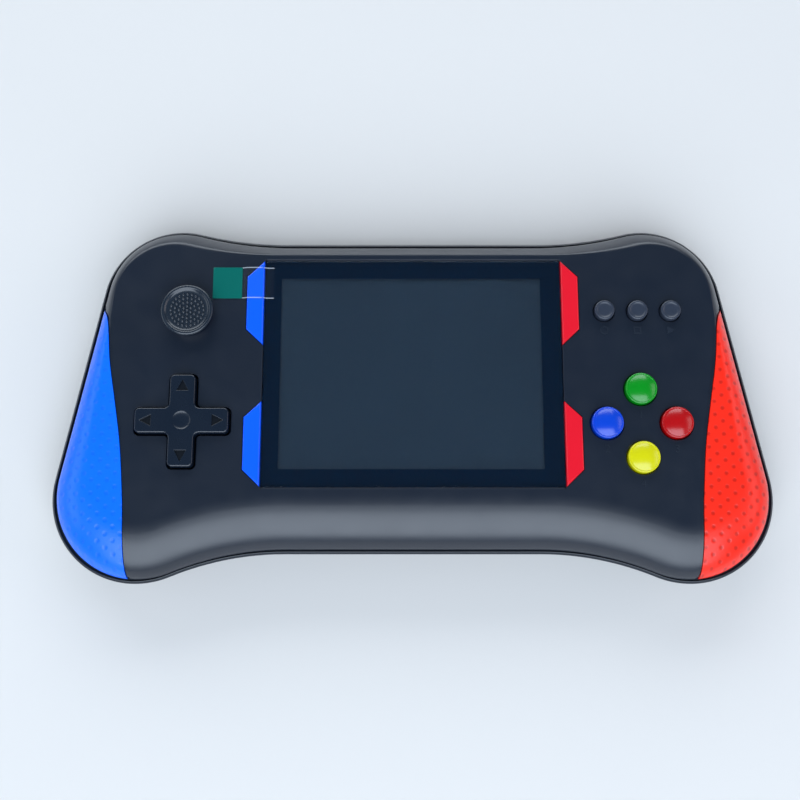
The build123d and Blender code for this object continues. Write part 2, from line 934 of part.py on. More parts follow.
def dpad_ball():
    """The pivot: a ball turned in flats, so that it rocks in its two coned seats."""
    waist = RegularPolygon(pad_ball_radius, stub_sides)
    half = extrude(waist, pad_ball_radius / 2, taper=pad_ball_lean)
    tip_foot = pad_ball_radius * (1 - tan(radians(pad_ball_lean)) / 2)
    tip = extrude(RegularPolygon(tip_foot, stub_sides), pad_ball_radius / 3, taper=half_steep)
    half += Pos(0, 0, pad_ball_radius / 2) * tip
    ball = half + mirror(half, about=Plane.XY)
    return Pos(pad_x, pad_y, pad_ball_z) * ball


def dpad_post():
    """A moulded post on the board with a coned top that the ball sits in."""
    top = pad_ball_z - pad_cup_lift
    post = stub(pad_x, pad_y, board_top + membrane_thickness, top, pad_post_radius)
    post += stub(pad_x, pad_y, board_top, board_top + membrane_thickness, pad_post_foot)
    return post - Pos(pad_x, pad_y, 0) * ball_seat(-1)


# Push buttons: a key on a flange that the shell holds down, with a square stem
def push_button(x, y, radius, rise, flange, stem, edge):
    flange_top = ceiling_z - seat_gap
    flange_low = flange_top - button_flange_thickness
    shoulder = face_z + rise
    key = Pos(x, y, flange_top) * extrude(sided(radius), shoulder - flange_top)
    key += Pos(x, y, shoulder) * extrude(sided(radius), edge, taper=half_steep)
    key += stub(x, y, flange_low, flange_top, radius + flange)
    low = dome_top + button_stem_gap
    return key + block(x - stem, x + stem, y - stem, y + stem, low, flange_low)


def face_button(x, y):
    """A glossy key whose bevelled edge carries a low crown."""
    body = push_button(
        x, y, button_radius, button_rise, button_flange, button_stem_half, button_edge
    )
    top = face_z + button_rise + button_edge
    crowned = extrude(sided(button_radius, button_edge), button_crown, taper=button_crown_lean)
    return body + Pos(x, y, top) * crowned


def menu_button(x, y):
    """A smaller key with a shallow dish."""
    body = push_button(x, y, menu_radius, menu_rise, menu_flange, menu_stem_half, menu_edge)
    top = face_z + menu_rise + menu_edge
    hollow = extrude(sided(menu_radius, 2 * menu_edge), menu_dish)
    return body - Pos(x, y, top - menu_dish) * hollow


# Rubber contact sheets: a flat sheet with a dome under each key
def membrane(places, half_x, half_y, middle, dome_top_radius):
    x, y = middle
    low = board_top + membrane_thickness
    sheet = block(x - half_x, x + half_x, y - half_y, y + half_y, board_top, low)
    foot = RegularPolygon(dome_top_radius + dome_foot, stub_sides)
    lean = degrees(atan2(dome_foot, dome_height))
    for px, py in places:
        sheet += Pos(px, py, low) * extrude(foot, dome_height, taper=lean)
    return sheet


def dpad_membrane():
    places = [
        (pad_x + dx * pad_stub_reach, pad_y + dy * pad_stub_reach) for dx, dy in pad_directions
    ]
    half = pad_stub_reach + pad_stub_radius + dome_foot + seam
    sheet = membrane(places, half, half, (pad_x, pad_y), pad_stub_radius + seam)
    hole = pad_post_foot + boss_gap
    return sheet - stub(pad_x, pad_y, board_top - overrun, board_top + overrun, hole)


def face_button_membrane():
    half = button_spacing + membrane_margin
    return membrane(
        button_places.values(), half, half, (cross_x, cross_y), button_stem_half * sqrt(2) + seam
    )


def menu_button_membrane():
    half_x = menu_spacing + menu_membrane_margin
    return membrane(
        menu_places.values(), half_x, menu_membrane_margin, (menu_x, menu_y),
        menu_stem_half * sqrt(2) + seam,
    )


# Board and what is soldered to it
def main_board():
    board = prism(outline(shrunk(rim_form, board_inset)), board_bottom, board_top)
    board &= block(
        -lobe_x - board_reach, lobe_x + board_reach, board_bottom_y, board_top_y,
        board_bottom, board_top,
    )
    for x, y in shell_screw_places:
        hole = shell_boss_radius + boss_gap
        board -= stub(x, y, board_bottom - overrun, board_top + overrun, hole)
    for x, y in board_screw_places:
        hole = board_screw_radius + slide_gap
        board -= stub(x, y, board_bottom - overrun, board_top + overrun, hole)
    return board


def board_screws():
    screws = []
    for x, y in board_screw_places:
        low = board_bottom - board_screw_head
        head = stub(x, y, low, board_bottom, board_screw_head_radius)
        tip = board_top + board_screw_length - seam
        screws.append(head + stub(x, y, board_bottom, tip, board_screw_radius))
    return Compound([s.solid() for s in screws])


def chip(x, y, length, width):
    return block(
        x - length / 2, x + length / 2, y - width / 2, y + width / 2,
        board_top, board_top + chip_height,
    )


# Rear shell, with its battery bay, speaker seat, bosses and openings
bay_roof = cover_sink + cover_thickness + slide_gap + battery_thickness + battery_gap
battery_low = cover_sink + cover_thickness + slide_gap
bay_half_x = battery_length / 2 + battery_gap
bay_right = bay_half_x + contact_depth + seat_gap
bay_low_y = battery_y - battery_width / 2 - battery_gap
bay_high_y = battery_y + battery_width / 2 + battery_gap
cover_top_y = bay_high_y + cover_top_gap
speaker_x = -(lobe_x - speaker_inset_x)
speaker_y = lobe_y + speaker_offset_y
top_fitting_z = board_bottom


def cover_region(grow):
    """The upright space that the battery cover fills, grown by a gap."""
    return block(
        -cover_half_width - grow, cover_half_width + grow,
        -half_height - overrun, cover_top_y + grow,
        -overrun, parting_z - 2 * cover_thickness + grow,
    )


def tongue_rail(grow):
    """The two side tongues of the cover, or with a gap the grooves they run in."""
    low = cover_sink + cover_tongue_lift
    high = low + cover_tongue_thickness
    wide = cover_half_width + cover_tongue + grow
    end = bottom_edge_y + cover_tongue_end
    if grow:
        end = bottom_edge_y - overrun
    start = cover_top_y - cover_tongue_lift + grow
    return block(-wide, wide, end, start, low - grow, high + grow)


def edge_hole(x, half_width, z, half_height, corner):
    """A rounded slot through the shell's top wall."""
    profile = Plane.XZ * Pos(x, z) * RectangleRounded(2 * half_width, 2 * half_height, corner)
    depth = rear_wall + back_roll / 2
    return Pos(0, top_edge_y + overrun, 0) * extrude(profile, depth + overrun)


# Each fitting hangs under the board: its middle height follows its own height
jack_z = top_fitting_z - jack_height / 2
socket_z = top_fitting_z - socket_height / 2
switch_z = top_fitting_z - switch_height / 2
wheel_top = top_fitting_z - wheel_base_thickness - wheel_gap
wheel_bottom = wheel_top - wheel_thickness
wheel_y = top_edge_y - wheel_radius - wheel_gap + wheel_proud / 2


def wall_inset(z):
    """How far the rear shell's outer wall stands inside the rim at a height."""
    height = (parting_z - z) / parting_z
    return back_roll * (1 - sqrt(1 - height * height))


jack_face_y = top_edge_y - rear_wall - slide_gap - wall_inset(jack_z)
switch_face_y = top_edge_y - rear_wall - wall_inset(switch_z) - slide_gap
knob_rest_x = switch_x - switch_travel / 2
wheel_head_top = wheel_bottom - wheel_gap
wheel_head_bottom = wheel_head_top - wheel_head_thickness


def fitting_pocket(x, half_width, low, front):
    """Room for a fitting, cut into the inner face of the shell's top wall."""
    return block(
        x - half_width - slide_gap, x + half_width + slide_gap,
        top_edge_y - rear_wall - back_roll, front + slide_gap,
        low - slide_gap, parting_z - locator_depth / 2,
    )


def rear_shell():
    body = basin(0, back_angles) - basin(rear_wall)
    inner = basin(rear_wall - seam)
    within = basin(rear_wall / 2)
    liner = cover_region(slide_gap + bay_wall) & (inner - basin(rear_wall + bay_liner))
    body += liner
    bay_top = bay_roof + bay_wall
    body += block(
        -bay_half_x - bay_wall, bay_right + bay_wall,
        bay_low_y - bay_wall, bay_high_y + bay_wall,
        rear_wall, bay_top,
    )
    for x, y in shell_screw_places:
        top = parting_z - shell_boss_end - seat_gap
        body += stub(x, y, seam, top, rear_boss_radius) & within
    seat_z = rear_wall + speaker_seat_height
    hold = speaker_radius + slide_gap
    outer = hold + speaker_seat_wall
    seat = block(
        speaker_x - outer, speaker_x + outer, speaker_y - outer, speaker_y + outer,
        rear_wall - seam, seat_z,
    )
    seat -= block(
        speaker_x - hold, speaker_x + hold, speaker_y - hold, speaker_y + hold,
        rear_wall, seat_z + overrun,
    )
    body += seat & within
    body -= block(
        -bay_half_x, bay_right, bay_low_y, bay_high_y, -overrun, bay_roof
    )
    body -= cover_region(slide_gap) & (basin(-overrun, back_angles) - basin(rear_wall))
    body -= tongue_rail(slide_gap / 2)
    for x, y in shell_screw_places:
        seat_top = shell_screw_sink + shell_screw_head
        top = parting_z - shell_boss_end
        body -= stub(x, y, -overrun, seat_top, shell_screw_head_radius + slide_gap)
        body -= stub(x, y, -overrun, top + overrun, shell_screw_radius + slide_gap)
    for n in range(sound_slot_count):
        x = speaker_x + (n - (sound_slot_count - 1) / 2) * sound_slot_pitch
        slot = Pos(x, speaker_y) * Rectangle(sound_slot_width, sound_slot_length)
        body -= Pos(0, 0, -overrun) * extrude(slot, rear_wall + 2 * overrun)
    body -= fitting_pocket(jack_x, jack_half_width, top_fitting_z - jack_height, jack_face_y)
    body -= fitting_pocket(
        switch_x, switch_half_width, top_fitting_z - switch_height, switch_face_y
    )
    body -= fitting_pocket(
        wheel_x, wheel_base_radius, wheel_head_bottom, wheel_y + wheel_base_radius
    )
    body -= lying(
        jack_x, jack_face_y - overrun, top_edge_y + overrun, jack_z,
        jack_nose_radius + opening_gap / 2,
    )
    body -= edge_hole(
        socket_x, socket_half_width + opening_gap, socket_z, socket_height / 2 + opening_gap, overrun
    )
    slot_half = knob_half_width + switch_travel / 2 + opening_gap / 2
    body -= edge_hole(switch_x, slot_half, switch_z, knob_height / 2 + opening_gap / 2, opening_gap)
    scoop_half = knob_pad_half_width + switch_travel / 2 + scoop_margin
    scoop_low = top_edge_y - wall_inset(switch_z) - scoop_depth
    body -= block(
        switch_x - scoop_half, switch_x + scoop_half, scoop_low, top_edge_y + overrun,
        switch_z - knob_pad_height / 2 - opening_gap, switch_z + knob_pad_height / 2 + opening_gap,
    )
    body -= edge_hole(
        wheel_x, wheel_radius, (wheel_top + wheel_bottom) / 2,
        wheel_thickness / 2 + wheel_gap, wheel_gap,
    )
    return body


# Battery, its contacts and its cover
def battery():
    half_x, half_y = battery_length / 2, battery_width / 2
    cell = block(
        -half_x, half_x, battery_y - half_y, battery_y + half_y,
        battery_low, battery_low + battery_thickness,
    )
    return fillet(cell.edges().filter_by(Axis.Z), battery_round)


def battery_contacts():
    """A block at the end of the bay with three sprung pins that meet the cell."""
    low = battery_low + battery_thickness / 2 - contact_height / 2
    x0 = bay_right - contact_depth + contact_pin
    body = block(
        x0, bay_right, battery_y - contact_width / 2, battery_y + contact_width / 2,
        low, low + contact_height,
    )
    for n in range(contact_pins):
        y = battery_y + (n - (contact_pins - 1) / 2) * contact_width / contact_pins
        z = low + contact_height / 2
        body += block(
            battery_length / 2 + seat_gap, x0 + seat_gap, y - contact_pin / 2, y + contact_pin / 2,
            z - contact_pin, z + contact_pin,
        )
    return body


def battery_cover():
    body = cover_region(0) & (basin(cover_sink, back_angles) - basin(rear_wall - slide_gap))
    rails = tongue_rail(0) - cover_region(-slide_gap)
    body += rails
    for n in range(grip_rib_count):
        y = cover_top_y - grip_rib_y - n * grip_rib_pitch
        body -= block(
            -grip_rib_length / 2, grip_rib_length / 2, y - grip_rib_width / 2, y + grip_rib_width / 2,
            cover_sink - overrun, cover_sink + grip_rib_depth,
        )
    return body


# Speaker: a frame that faces the sound slots, its hollow cone and the magnet behind it
def speaker():
    low = rear_wall + seat_gap
    body = stub(speaker_x, speaker_y, low, low + speaker_frame, speaker_radius)
    body += stub(speaker_x, speaker_y, low, low + speaker_depth, speaker_magnet_radius)
    depth = speaker_frame - speaker_skin
    lean = degrees(atan2(speaker_cone_radius - speaker_cap_radius, depth))
    cone = extrude(RegularPolygon(speaker_cone_radius, stub_sides), depth, taper=lean)
    return body - Pos(speaker_x, speaker_y, low) * cone


def shell_screws():
    screws = []
    for x, y in shell_screw_places:
        seat = shell_screw_sink + shell_screw_head
        tip = parting_z - shell_boss_end + shell_screw_length - shell_screw_bridge
        head = stub(x, y, shell_screw_sink, seat, shell_screw_head_radius)
        screws.append(head + stub(x, y, seat, tip, shell_screw_radius))
    return Compound([s.solid() for s in screws])


# Fittings on the top edge
def av_jack():
    nose_y = top_edge_y - wall_inset(jack_z) - slide_gap
    body = block(
        jack_x - jack_half_width, jack_x + jack_half_width, nose_y - jack_length - jack_end_wall,
        jack_face_y, top_fitting_z - jack_height, top_fitting_z,
    )
    body += lying(jack_x, jack_face_y - seat_gap, nose_y, jack_z, jack_nose_radius)
    return body - lying(jack_x, nose_y - jack_length, nose_y + overrun, jack_z, jack_bore_radius)


def charging_socket():
    front = top_edge_y - wall_inset(socket_z) - slide_gap
    back = front - socket_length
    outer = Plane.XZ * Pos(socket_x, socket_z) * Rectangle(2 * socket_half_width, socket_height)
    inner = Plane.XZ * Pos(socket_x, socket_z) * Rectangle(
        2 * (socket_half_width - socket_skin), socket_height - 2 * socket_skin
    )
    body = Pos(0, front, 0) * extrude(outer, socket_length)
    body -= Pos(0, front + overrun, 0) * extrude(inner, socket_length + overrun - socket_skin)
    return body + block(
        socket_x - socket_tongue_half_width, socket_x + socket_tongue_half_width,
        back + socket_skin / 2, front - overrun,
        socket_z - socket_tongue / 2, socket_z + socket_tongue / 2,
    )


def power_switch_body():
    body = block(
        switch_x - switch_half_width, switch_x + switch_half_width,
        switch_face_y - switch_depth, switch_face_y, top_fitting_z - switch_height, top_fitting_z,
    )
    run = knob_half_width + switch_travel / 2 + slide_gap
    return body - block(
        switch_x - run, switch_x + run, switch_face_y - knob_root - slide_gap,
        switch_face_y + overrun,
        switch_z - knob_height / 2 - stick_running_gap, switch_z + knob_height / 2 + stick_running_gap,
    )


def power_switch_knob():
    pad_y1 = top_edge_y - wall_inset(switch_z)
    pad_y0 = pad_y1 - knob_pad_thickness
    body = block(
        knob_rest_x - knob_half_width, knob_rest_x + knob_half_width,
        switch_face_y - knob_root, pad_y0 + seat_gap,
        switch_z - knob_height / 2, switch_z + knob_height / 2,
    )
    body += block(
        knob_rest_x - knob_pad_half_width, knob_rest_x + knob_pad_half_width, pad_y0, pad_y1,
        switch_z - knob_pad_height / 2, switch_z + knob_pad_height / 2,
    )
    pitch = 2 * knob_pad_half_width / 4
    for n in (-1, 0, 1):
        x = knob_rest_x + n * pitch
        body -= block(
            x - seam, x + seam, pad_y1 - seam, pad_y1 + overrun,
            switch_z - knob_pad_height, switch_z + knob_pad_height,
        )
    return body


def volume_wheel():
    points = []
    for n in range(2 * wheel_teeth):
        radius = wheel_radius - (n % 2) * wheel_tooth_depth
        angle = radians(180 * n / wheel_teeth)
        points.append((radius * cos(angle), radius * sin(angle)))
    body = prism(Polyline(*points, close=True), wheel_bottom, wheel_top)
    body -= disc(0, 0, wheel_bottom - overrun, wheel_top + overrun, wheel_bore_radius)
    return Pos(wheel_x, wheel_y, 0) * body


def volume_wheel_base():
    """The potentiometer's disc on the board, with the pin and head that carry the wheel."""
    low = top_fitting_z - wheel_base_thickness
    body = stub(wheel_x, wheel_y, low, top_fitting_z, wheel_base_radius)
    pin = wheel_bore_radius - wheel_shaft_gap
    body += disc(wheel_x, wheel_y, wheel_head_top, low, pin)
    return body + stub(wheel_x, wheel_y, wheel_head_bottom, wheel_head_top, wheel_head_radius)


def pieces():
    """Every separate piece of the console, by name."""
    made = {
        "front_shell": front_shell(),
        "rear_shell": rear_shell(),
        "screen_window": screen_window(),
        "display_panel": display_panel(),
        "display_tray": display_tray(),
        "display_flex": display_flex(),
        "display_connector": display_connector(),
        "screen_film_strip": film_strip(),
        "screen_film_tab": film_tab(),
        "thumbstick_cap": thumbstick_cap(),
        "thumbstick_carriage": thumbstick_carriage(),
        "thumbstick_housing": thumbstick_housing(),
        "dpad_cross": dpad_cross(),
        "dpad_ball": dpad_ball(),
        "dpad_post": dpad_post(),
        "dpad_membrane": dpad_membrane(),
        "face_button_membrane": face_button_membrane(),
        "menu_button_membrane": menu_button_membrane(),
        "main_board": main_board(),
        "board_screws": board_screws(),
        "shell_screws": shell_screws(),
        "battery": battery(),
        "battery_contacts": battery_contacts(),
        "battery_cover": battery_cover(),
        "speaker": speaker(),
        "av_jack": av_jack(),
        "charging_socket": charging_socket(),
        "power_switch_body": power_switch_body(),
        "power_switch_knob": power_switch_knob(),
        "volume_wheel": volume_wheel(),
        "volume_wheel_base": volume_wheel_base(),
        "processor_chip": chip(chip_spread / 2, window_y, processor_size, processor_size),
        "memory_chip": chip(-chip_spread / 2, window_y, memory_width, memory_length),
    }
    panel = right_grip_panel()
    made["right_grip_panel"] = panel
    made["left_grip_panel"] = mirrored(panel)
    for level, (top, bottom, top_slant, bottom_slant) in accents.items():
        inlay = accent(top, bottom, top_slant, bottom_slant)
        made[level + "_right_accent"] = inlay
        made[level + "_left_accent"] = mirrored(inlay)
    for name, (x, y) in button_places.items():
        made[name] = face_button(x, y)
    for name, (x, y) in menu_places.items():
        made[name] = menu_button(x, y)
    return made


os.makedirs("parts", exist_ok=True)
for name, piece in pieces().items():
    export_step(piece, "parts/" + name + ".step")
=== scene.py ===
import math
import bpy
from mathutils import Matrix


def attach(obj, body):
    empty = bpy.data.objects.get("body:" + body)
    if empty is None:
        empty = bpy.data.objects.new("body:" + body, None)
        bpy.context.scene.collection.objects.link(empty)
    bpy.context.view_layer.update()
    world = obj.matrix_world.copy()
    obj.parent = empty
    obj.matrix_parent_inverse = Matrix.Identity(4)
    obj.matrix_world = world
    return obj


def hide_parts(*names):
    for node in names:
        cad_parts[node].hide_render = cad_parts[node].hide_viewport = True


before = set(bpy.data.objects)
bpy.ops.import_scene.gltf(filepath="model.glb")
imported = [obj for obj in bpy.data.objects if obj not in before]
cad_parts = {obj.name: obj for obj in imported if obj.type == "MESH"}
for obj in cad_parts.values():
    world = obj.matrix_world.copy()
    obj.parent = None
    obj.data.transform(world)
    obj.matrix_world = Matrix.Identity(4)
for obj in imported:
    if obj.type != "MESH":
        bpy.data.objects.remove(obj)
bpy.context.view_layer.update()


# ---------------------------------------------------------------- floor and backdrop
# The console lies on its back on a plain pale table top, a sheet so wide that its far edge is no
# more than the horizon when the eye is low.
mm = 0.001
table_width, table_gap = 12.0, 0.05


def new_finish(name):
    """A new material, and the shader that its constants are set on."""
    made = bpy.data.materials.new(name)
    made.use_nodes = True
    return made, made.node_tree.nodes["Principled BSDF"]


bpy.ops.object.select_all(action="DESELECT")
bpy.ops.mesh.primitive_plane_add(size=table_width, location=(0, 0, -table_gap * mm))
floor = bpy.context.object
floor.name = "table_top"
floor_finish, shader = new_finish("pale_table")
shader.inputs["Roughness"].default_value = 0.85
shader.inputs["Base Color"].default_value = (0.66, 0.635, 0.61, 1)
floor.data.materials.append(floor_finish)

# ---------------------------------------------------------------- studio light and camera
# A broad soft box on the player's side, whose reflection runs along the roll of the lower edge,
# one beyond the top edge that picks out the rim, a weak one at each hand, and a dim blue surround.
# The camera looks down from a little below the middle of the face.
world = bpy.data.worlds.new("studio")
bpy.context.scene.world = world
world.use_nodes = True
surround = world.node_tree.nodes["Background"]
surround.inputs["Color"].default_value = (0.48, 0.72, 1.0, 1)
surround.inputs["Strength"].default_value = 0.18


def softbox(name, place, target, width, height, power, tint):
    """A soft box that faces a point on the console."""
    lamp = bpy.data.lights.new(name, "AREA")
    lamp.shape = "RECTANGLE"
    lamp.size = width
    lamp.size_y = height
    lamp.energy = power
    lamp.color = tint
    box = bpy.data.objects.new(name, lamp)
    bpy.context.collection.objects.link(box)
    box.location = place
    aim = [b - a for a, b in zip(place, target)]
    reach = math.sqrt(sum(a * a for a in aim))
    box.rotation_euler = (math.acos(-aim[2] / reach), 0, math.atan2(-aim[0], aim[1]))


softbox("players_side", (0.0, -0.84, 0.84), (0, -0.03, 0.015), 1.6, 1.25, 26.0, (0.78, 0.88, 1.0))
softbox("beyond_the_top", (-0.15, 1.0, 0.55), (0, 0, 0.02), 1.6, 0.6, 12.0, (0.86, 0.93, 1.0))
softbox("left_hand", (-1.0, 0.05, 0.50), (0, 0, 0.02), 0.9, 0.5, 2.2, (0.85, 0.93, 1.0))
softbox("right_hand", (1.0, 0.05, 0.50), (0, 0, 0.02), 0.9, 0.5, 2.2, (1.0, 0.93, 0.95))

eye = bpy.data.cameras.new("eye")
eye.lens = 51.88
eye.sensor_width = 36.0
camera = bpy.data.objects.new("eye", eye)
bpy.context.collection.objects.link(camera)
eye_place, eye_tilt = (-3.4, -67.6, 319.6), 12.5
camera.location = [c * mm for c in eye_place]
camera.rotation_euler = (math.radians(eye_tilt), 0, 0)
bpy.context.scene.camera = camera
bpy.context.scene.view_settings.view_transform = "Standard"

# ---------------------------------------------------------------- front shell
# The upper half of the casing, moulded in black plastic with a satin skin. Its rim swells into a
# shoulder and a lobe at each end, its top wall leans back in two flats, its lower edge rolls off
# in one long curve, and it drops by a narrow step beside each grip panel.
rim_top, rim_bottom = 45.45, -41.3
shoulder, lobe = (64.5, 27.65, 21.5), (73.5, -25.8, 23.3)
top_waist, low_waist = 100.0, 80.0
parting, face = 12.0, 21.0
foot_inset, foot_pinch = 1.05, 0.6
top_slope, crease_slope, edge_round = 5.1, 1.94, 0.6
low_roll, shoulder_roll, lobe_roll = 13.95, 4.65, 10.25
shell_wall, grip_wall, grip_wall_x, face_share = 2.0, 3.4, 75.5, 0.45
cut_low, cut_high = 11.0, 22.0


def pulled_in(form, inset):
    """The form whose outline runs parallel to this one, further in."""
    top, bottom, (sx, sy, sr), (lx, ly, lr) = form
    return top - inset, bottom + inset, (sx, sy, sr - inset), (lx, ly, lr - inset)


def short_way(start, end):
    return (end - start + math.pi) % (2 * math.pi) - math.pi


def arc_points(cx, cy, radius, start, turn, count):
    """Points along an arc, its last one left to what follows."""
    steps = [start + turn * n / count for n in range(count)]
    return [(cx + radius * math.cos(a), cy + radius * math.sin(a)) for a in steps]


def rim_loop(form):
    """Points round the casing at one level: two waists, two shoulders and two lobes."""
    top, bottom, (sx, sy, sr), (lx, ly, lr) = form
    top_r = top_waist + rim_top - top
    low_r = low_waist + bottom - rim_bottom
    wx = sx - math.sqrt((top_r + sr) ** 2 - (top + top_r - sy) ** 2)
    wy = top + top_r
    bx = lx - math.sqrt((low_r + lr) ** 2 - (ly - (bottom - low_r)) ** 2)
    by = bottom - low_r
    waist_end = math.atan2(sy - wy, sx - wx)
    turn_in = waist_end + math.pi
    side = math.atan2(sy - ly, sx - lx) - math.acos((lr - sr) / math.hypot(sx - lx, sy - ly))
    low_start = math.atan2(ly - by, lx - bx)
    down, up = -math.pi / 2, math.pi / 2
    right = [(wx * n / 8, top) for n in range(1, 8)]
    right += arc_points(wx, wy, top_r, down, short_way(down, waist_end), 12)
    right += arc_points(sx, sy, sr, turn_in, short_way(turn_in, side), 30)
    x0, y0 = sx + sr * math.cos(side), sy + sr * math.sin(side)
    x1, y1 = lx + lr * math.cos(side), ly + lr * math.sin(side)
    right += [(x0 + (x1 - x0) * n / 8, y0 + (y1 - y0) * n / 8) for n in range(8)]
    right += arc_points(lx, ly, lr, side, low_start - math.pi - side, 48)
    right += arc_points(bx, by, low_r, low_start, short_way(low_start, up), 12)
    right += [(bx * n / 8, bottom) for n in range(8, 0, -1)]
    left = [(-x, y) for x, y in reversed(right)]
    return [(0, top)] + right + [(0, bottom)] + left


rim_form = (rim_top, rim_bottom, shoulder, lobe)
foot_form = (
    rim_top - foot_inset, rim_bottom + foot_inset,
    (shoulder[0] - foot_pinch, shoulder[1], shoulder[2] - foot_inset),
    (lobe[0] - foot_pinch, lobe[1], lobe[2] - foot_inset),
)
face_form = (
    foot_form[0] - top_slope, foot_form[1] + low_roll,
    (shoulder[0] + 0.5, shoulder[1] - 1.35, foot_form[2][2] - shoulder_roll),
    (lobe[0] - 1.0, lobe[1] + 3.8, foot_form[3][2] - lobe_roll),
)

# Each step up the crown is a share of its height and the inset of the top wall there: a steep
# flat to the crease half way up, a flatter one above it and a small round at the face.
crown, crease = face - parting, 0.5
facet_lean = math.atan2(crown * (1 - crease), top_slope - crease_slope)
edge_inset = top_slope + edge_round * math.tan(facet_lean / 2)
crown_steps = [(h, crease_slope * h / crease) for h in (0.0, 0.04, 0.1, 0.2, 0.3, 0.4, 0.49)]
crown_steps += [
    (h, crease_slope + (top_slope - crease_slope) * (h - crease) / (1 - crease))
    for h in (0.51, 0.58, 0.66, 0.73, 0.79, 0.84, 0.885, 0.92, 0.948)
]
crown_steps += [
    (1 - edge_round * (1 - math.cos(lean)) / crown, edge_inset - edge_round * math.sin(lean))
    for lean in (facet_lean * n / 6 for n in range(6, -1, -1))
]


def mix(a, b, share):
    return a + (b - a) * share


def crown_rows(depth=0.0):
    """Level outlines of the upper half, or of a parallel surface this deep inside it."""
    low, high = pulled_in(foot_form, depth), pulled_in(face_form, face_share * depth)
    rows = []
    for height, inset in crown_steps:
        slope, roll = inset / top_slope, 1 - math.sqrt(1 - height * height)
        form = (
            mix(low[0], high[0], slope), mix(low[1], high[1], roll),
            tuple(mix(a, b, (slope + roll) / 2) for a, b in zip(low[2], high[2])),
            tuple(mix(a, b, roll) for a, b in zip(low[3], high[3])),
        )
        rows.append((parting + (face - depth - parting) * height, rim_loop(form)))
    return rows


def faces_outwards():
    bpy.ops.object.mode_set(mode="EDIT")
    bpy.ops.mesh.select_all(action="SELECT")
    bpy.ops.mesh.normals_make_consistent(inside=False)
    bpy.ops.object.mode_set(mode="OBJECT")


def stacked(name, rows):
    """A closed form drawn up through level outlines: a ring of points extruded row by row."""
    bpy.ops.object.select_all(action="DESELECT")
    bpy.ops.mesh.primitive_circle_add(vertices=len(rows[0][1]), radius=1, fill_type="NGON")
    form = bpy.context.object
    form.name = name
    form.location = (0, 0, 0)
    for vertex, (x, y) in zip(form.data.vertices, rows[0][1]):
        vertex.co = (x * mm, y * mm, rows[0][0] * mm)
    for z, loop in rows[1:]:
        bpy.ops.object.mode_set(mode="EDIT")
        bpy.ops.mesh.extrude_region_move()
        bpy.ops.object.mode_set(mode="OBJECT")
        raised = [v for v in form.data.vertices if v.select]
        for vertex, (x, y) in zip(raised, loop):
            vertex.co = (x * mm, y * mm, z * mm)
    faces_outwards()
    return form


def pick(form):
    bpy.ops.object.select_all(action="DESELECT")
    bpy.context.view_layer.objects.active = form
    form.select_set(True)


def carve(form, tool, operation="DIFFERENCE"):
    """Takes one closed form out of another, adds it or keeps what they share."""
    cut = form.modifiers.new("cut", "BOOLEAN")
    cut.object = tool
    cut.operation = operation
    cut.solver = "EXACT"
    pick(form)
    bpy.ops.object.modifier_apply(modifier="cut")
    bpy.data.objects.remove(tool)


def crown_inside(depth):
    """A form that fills the upper half this deep inside it and reaches down past its foot."""
    rows = crown_rows(depth)
    return stacked("inside", [(cut_low, rows[0][1])] + rows)


def slab(z0, z1, points):
    """An upright closed form over a flat outline, to cut with."""
    return stacked("slab", [(z0, points), (z1, points)])


def rectangle(x0, y0, x1, y1):
    return [(x0, y0), (x1, y0), (x1, y1), (x0, y1)]


def shrunk(box, by):
    x0, y0, x1, y1 = box
    return x0 + by, y0 + by, x1 - by, y1 - by


def round_points(x, y, radius, count=72):
    return arc_points(x, y, radius, 0, 2 * math.pi, count)


def corner_points(cx, cy, radius, first, turn=90, steps=8):
    """Points round a corner, from one angle on through a turn, in degrees."""
    angles = [math.radians(first + turn * n / steps) for n in range(steps + 1)]
    return [(cx + radius * math.cos(a), cy + radius * math.sin(a)) for a in angles]


def cross_points(x, y, arm, reach, corner, inner):
    """The cross pad's outline: rounded outer corners, fillets inside."""
    quarter = corner_points(reach - corner, -arm + corner, corner, -90)
    quarter += corner_points(reach - corner, arm - corner, corner, 0)
    quarter += corner_points(arm + inner, arm + inner, inner, -90, turn=-90)
    points = []
    for side in range(4):
        points += [(x + px, y + py) for px, py in quarter]
        quarter = [(-py, px) for px, py in quarter]
    return points


def opening(z0, outline, edge=0.22):
    """A tool for a hole in the face, flared at its top so that the hole's edge is rounded."""
    rows = [(z0, outline(0))]
    for step in range(5):
        a = math.radians(90 * step / 4)
        rows.append((face - edge + edge * math.sin(a), outline(edge * (1 - math.cos(a)))))
    return stacked("opening", rows + [(cut_high, outline(edge))])


# Places along the grip panels' inner edge, from its upper end down, and a line beyond the rim
edge_marks = [
    (87.5, 33.0), (84.9, 25.6), (82.3, 20.7), (81.1, 9.6), (79.2, -1.4), (77.4, -12.2),
    (76.3, -22.8), (75.6, -33.3), (75.2, -53.1),
]
beyond_rim = 99.0


def panel_outline(gap):
    """The area a right-hand grip panel covers, its inner edge smoothed and moved by a gap."""
    smooth = []
    last = len(edge_marks) - 1
    for n in range(last):
        near = [edge_marks[min(max(n + k, 0), last)] for k in (-1, 0, 1, 2)]
        for step in range(6):
            t = step / 6
            smooth.append(tuple(
                0.5 * (2 * b + (c - a) * t + (2 * a - 5 * b + 4 * c - d) * t * t
                       + (3 * b - a - 3 * c + d) * t ** 3)
                for a, b, c, d in zip(*near)
            ))
    smooth.append(edge_marks[-1])
    outer = [(beyond_rim, edge_marks[-1][1]), (beyond_rim, edge_marks[0][1])]
    return [(x - gap, y) for x, y in smooth] + outer


def handed(points, left):
    """An outline drawn for the right hand, or its mirror image for the left."""
    return [(-x, y) for x, y in reversed(points)] if left else points


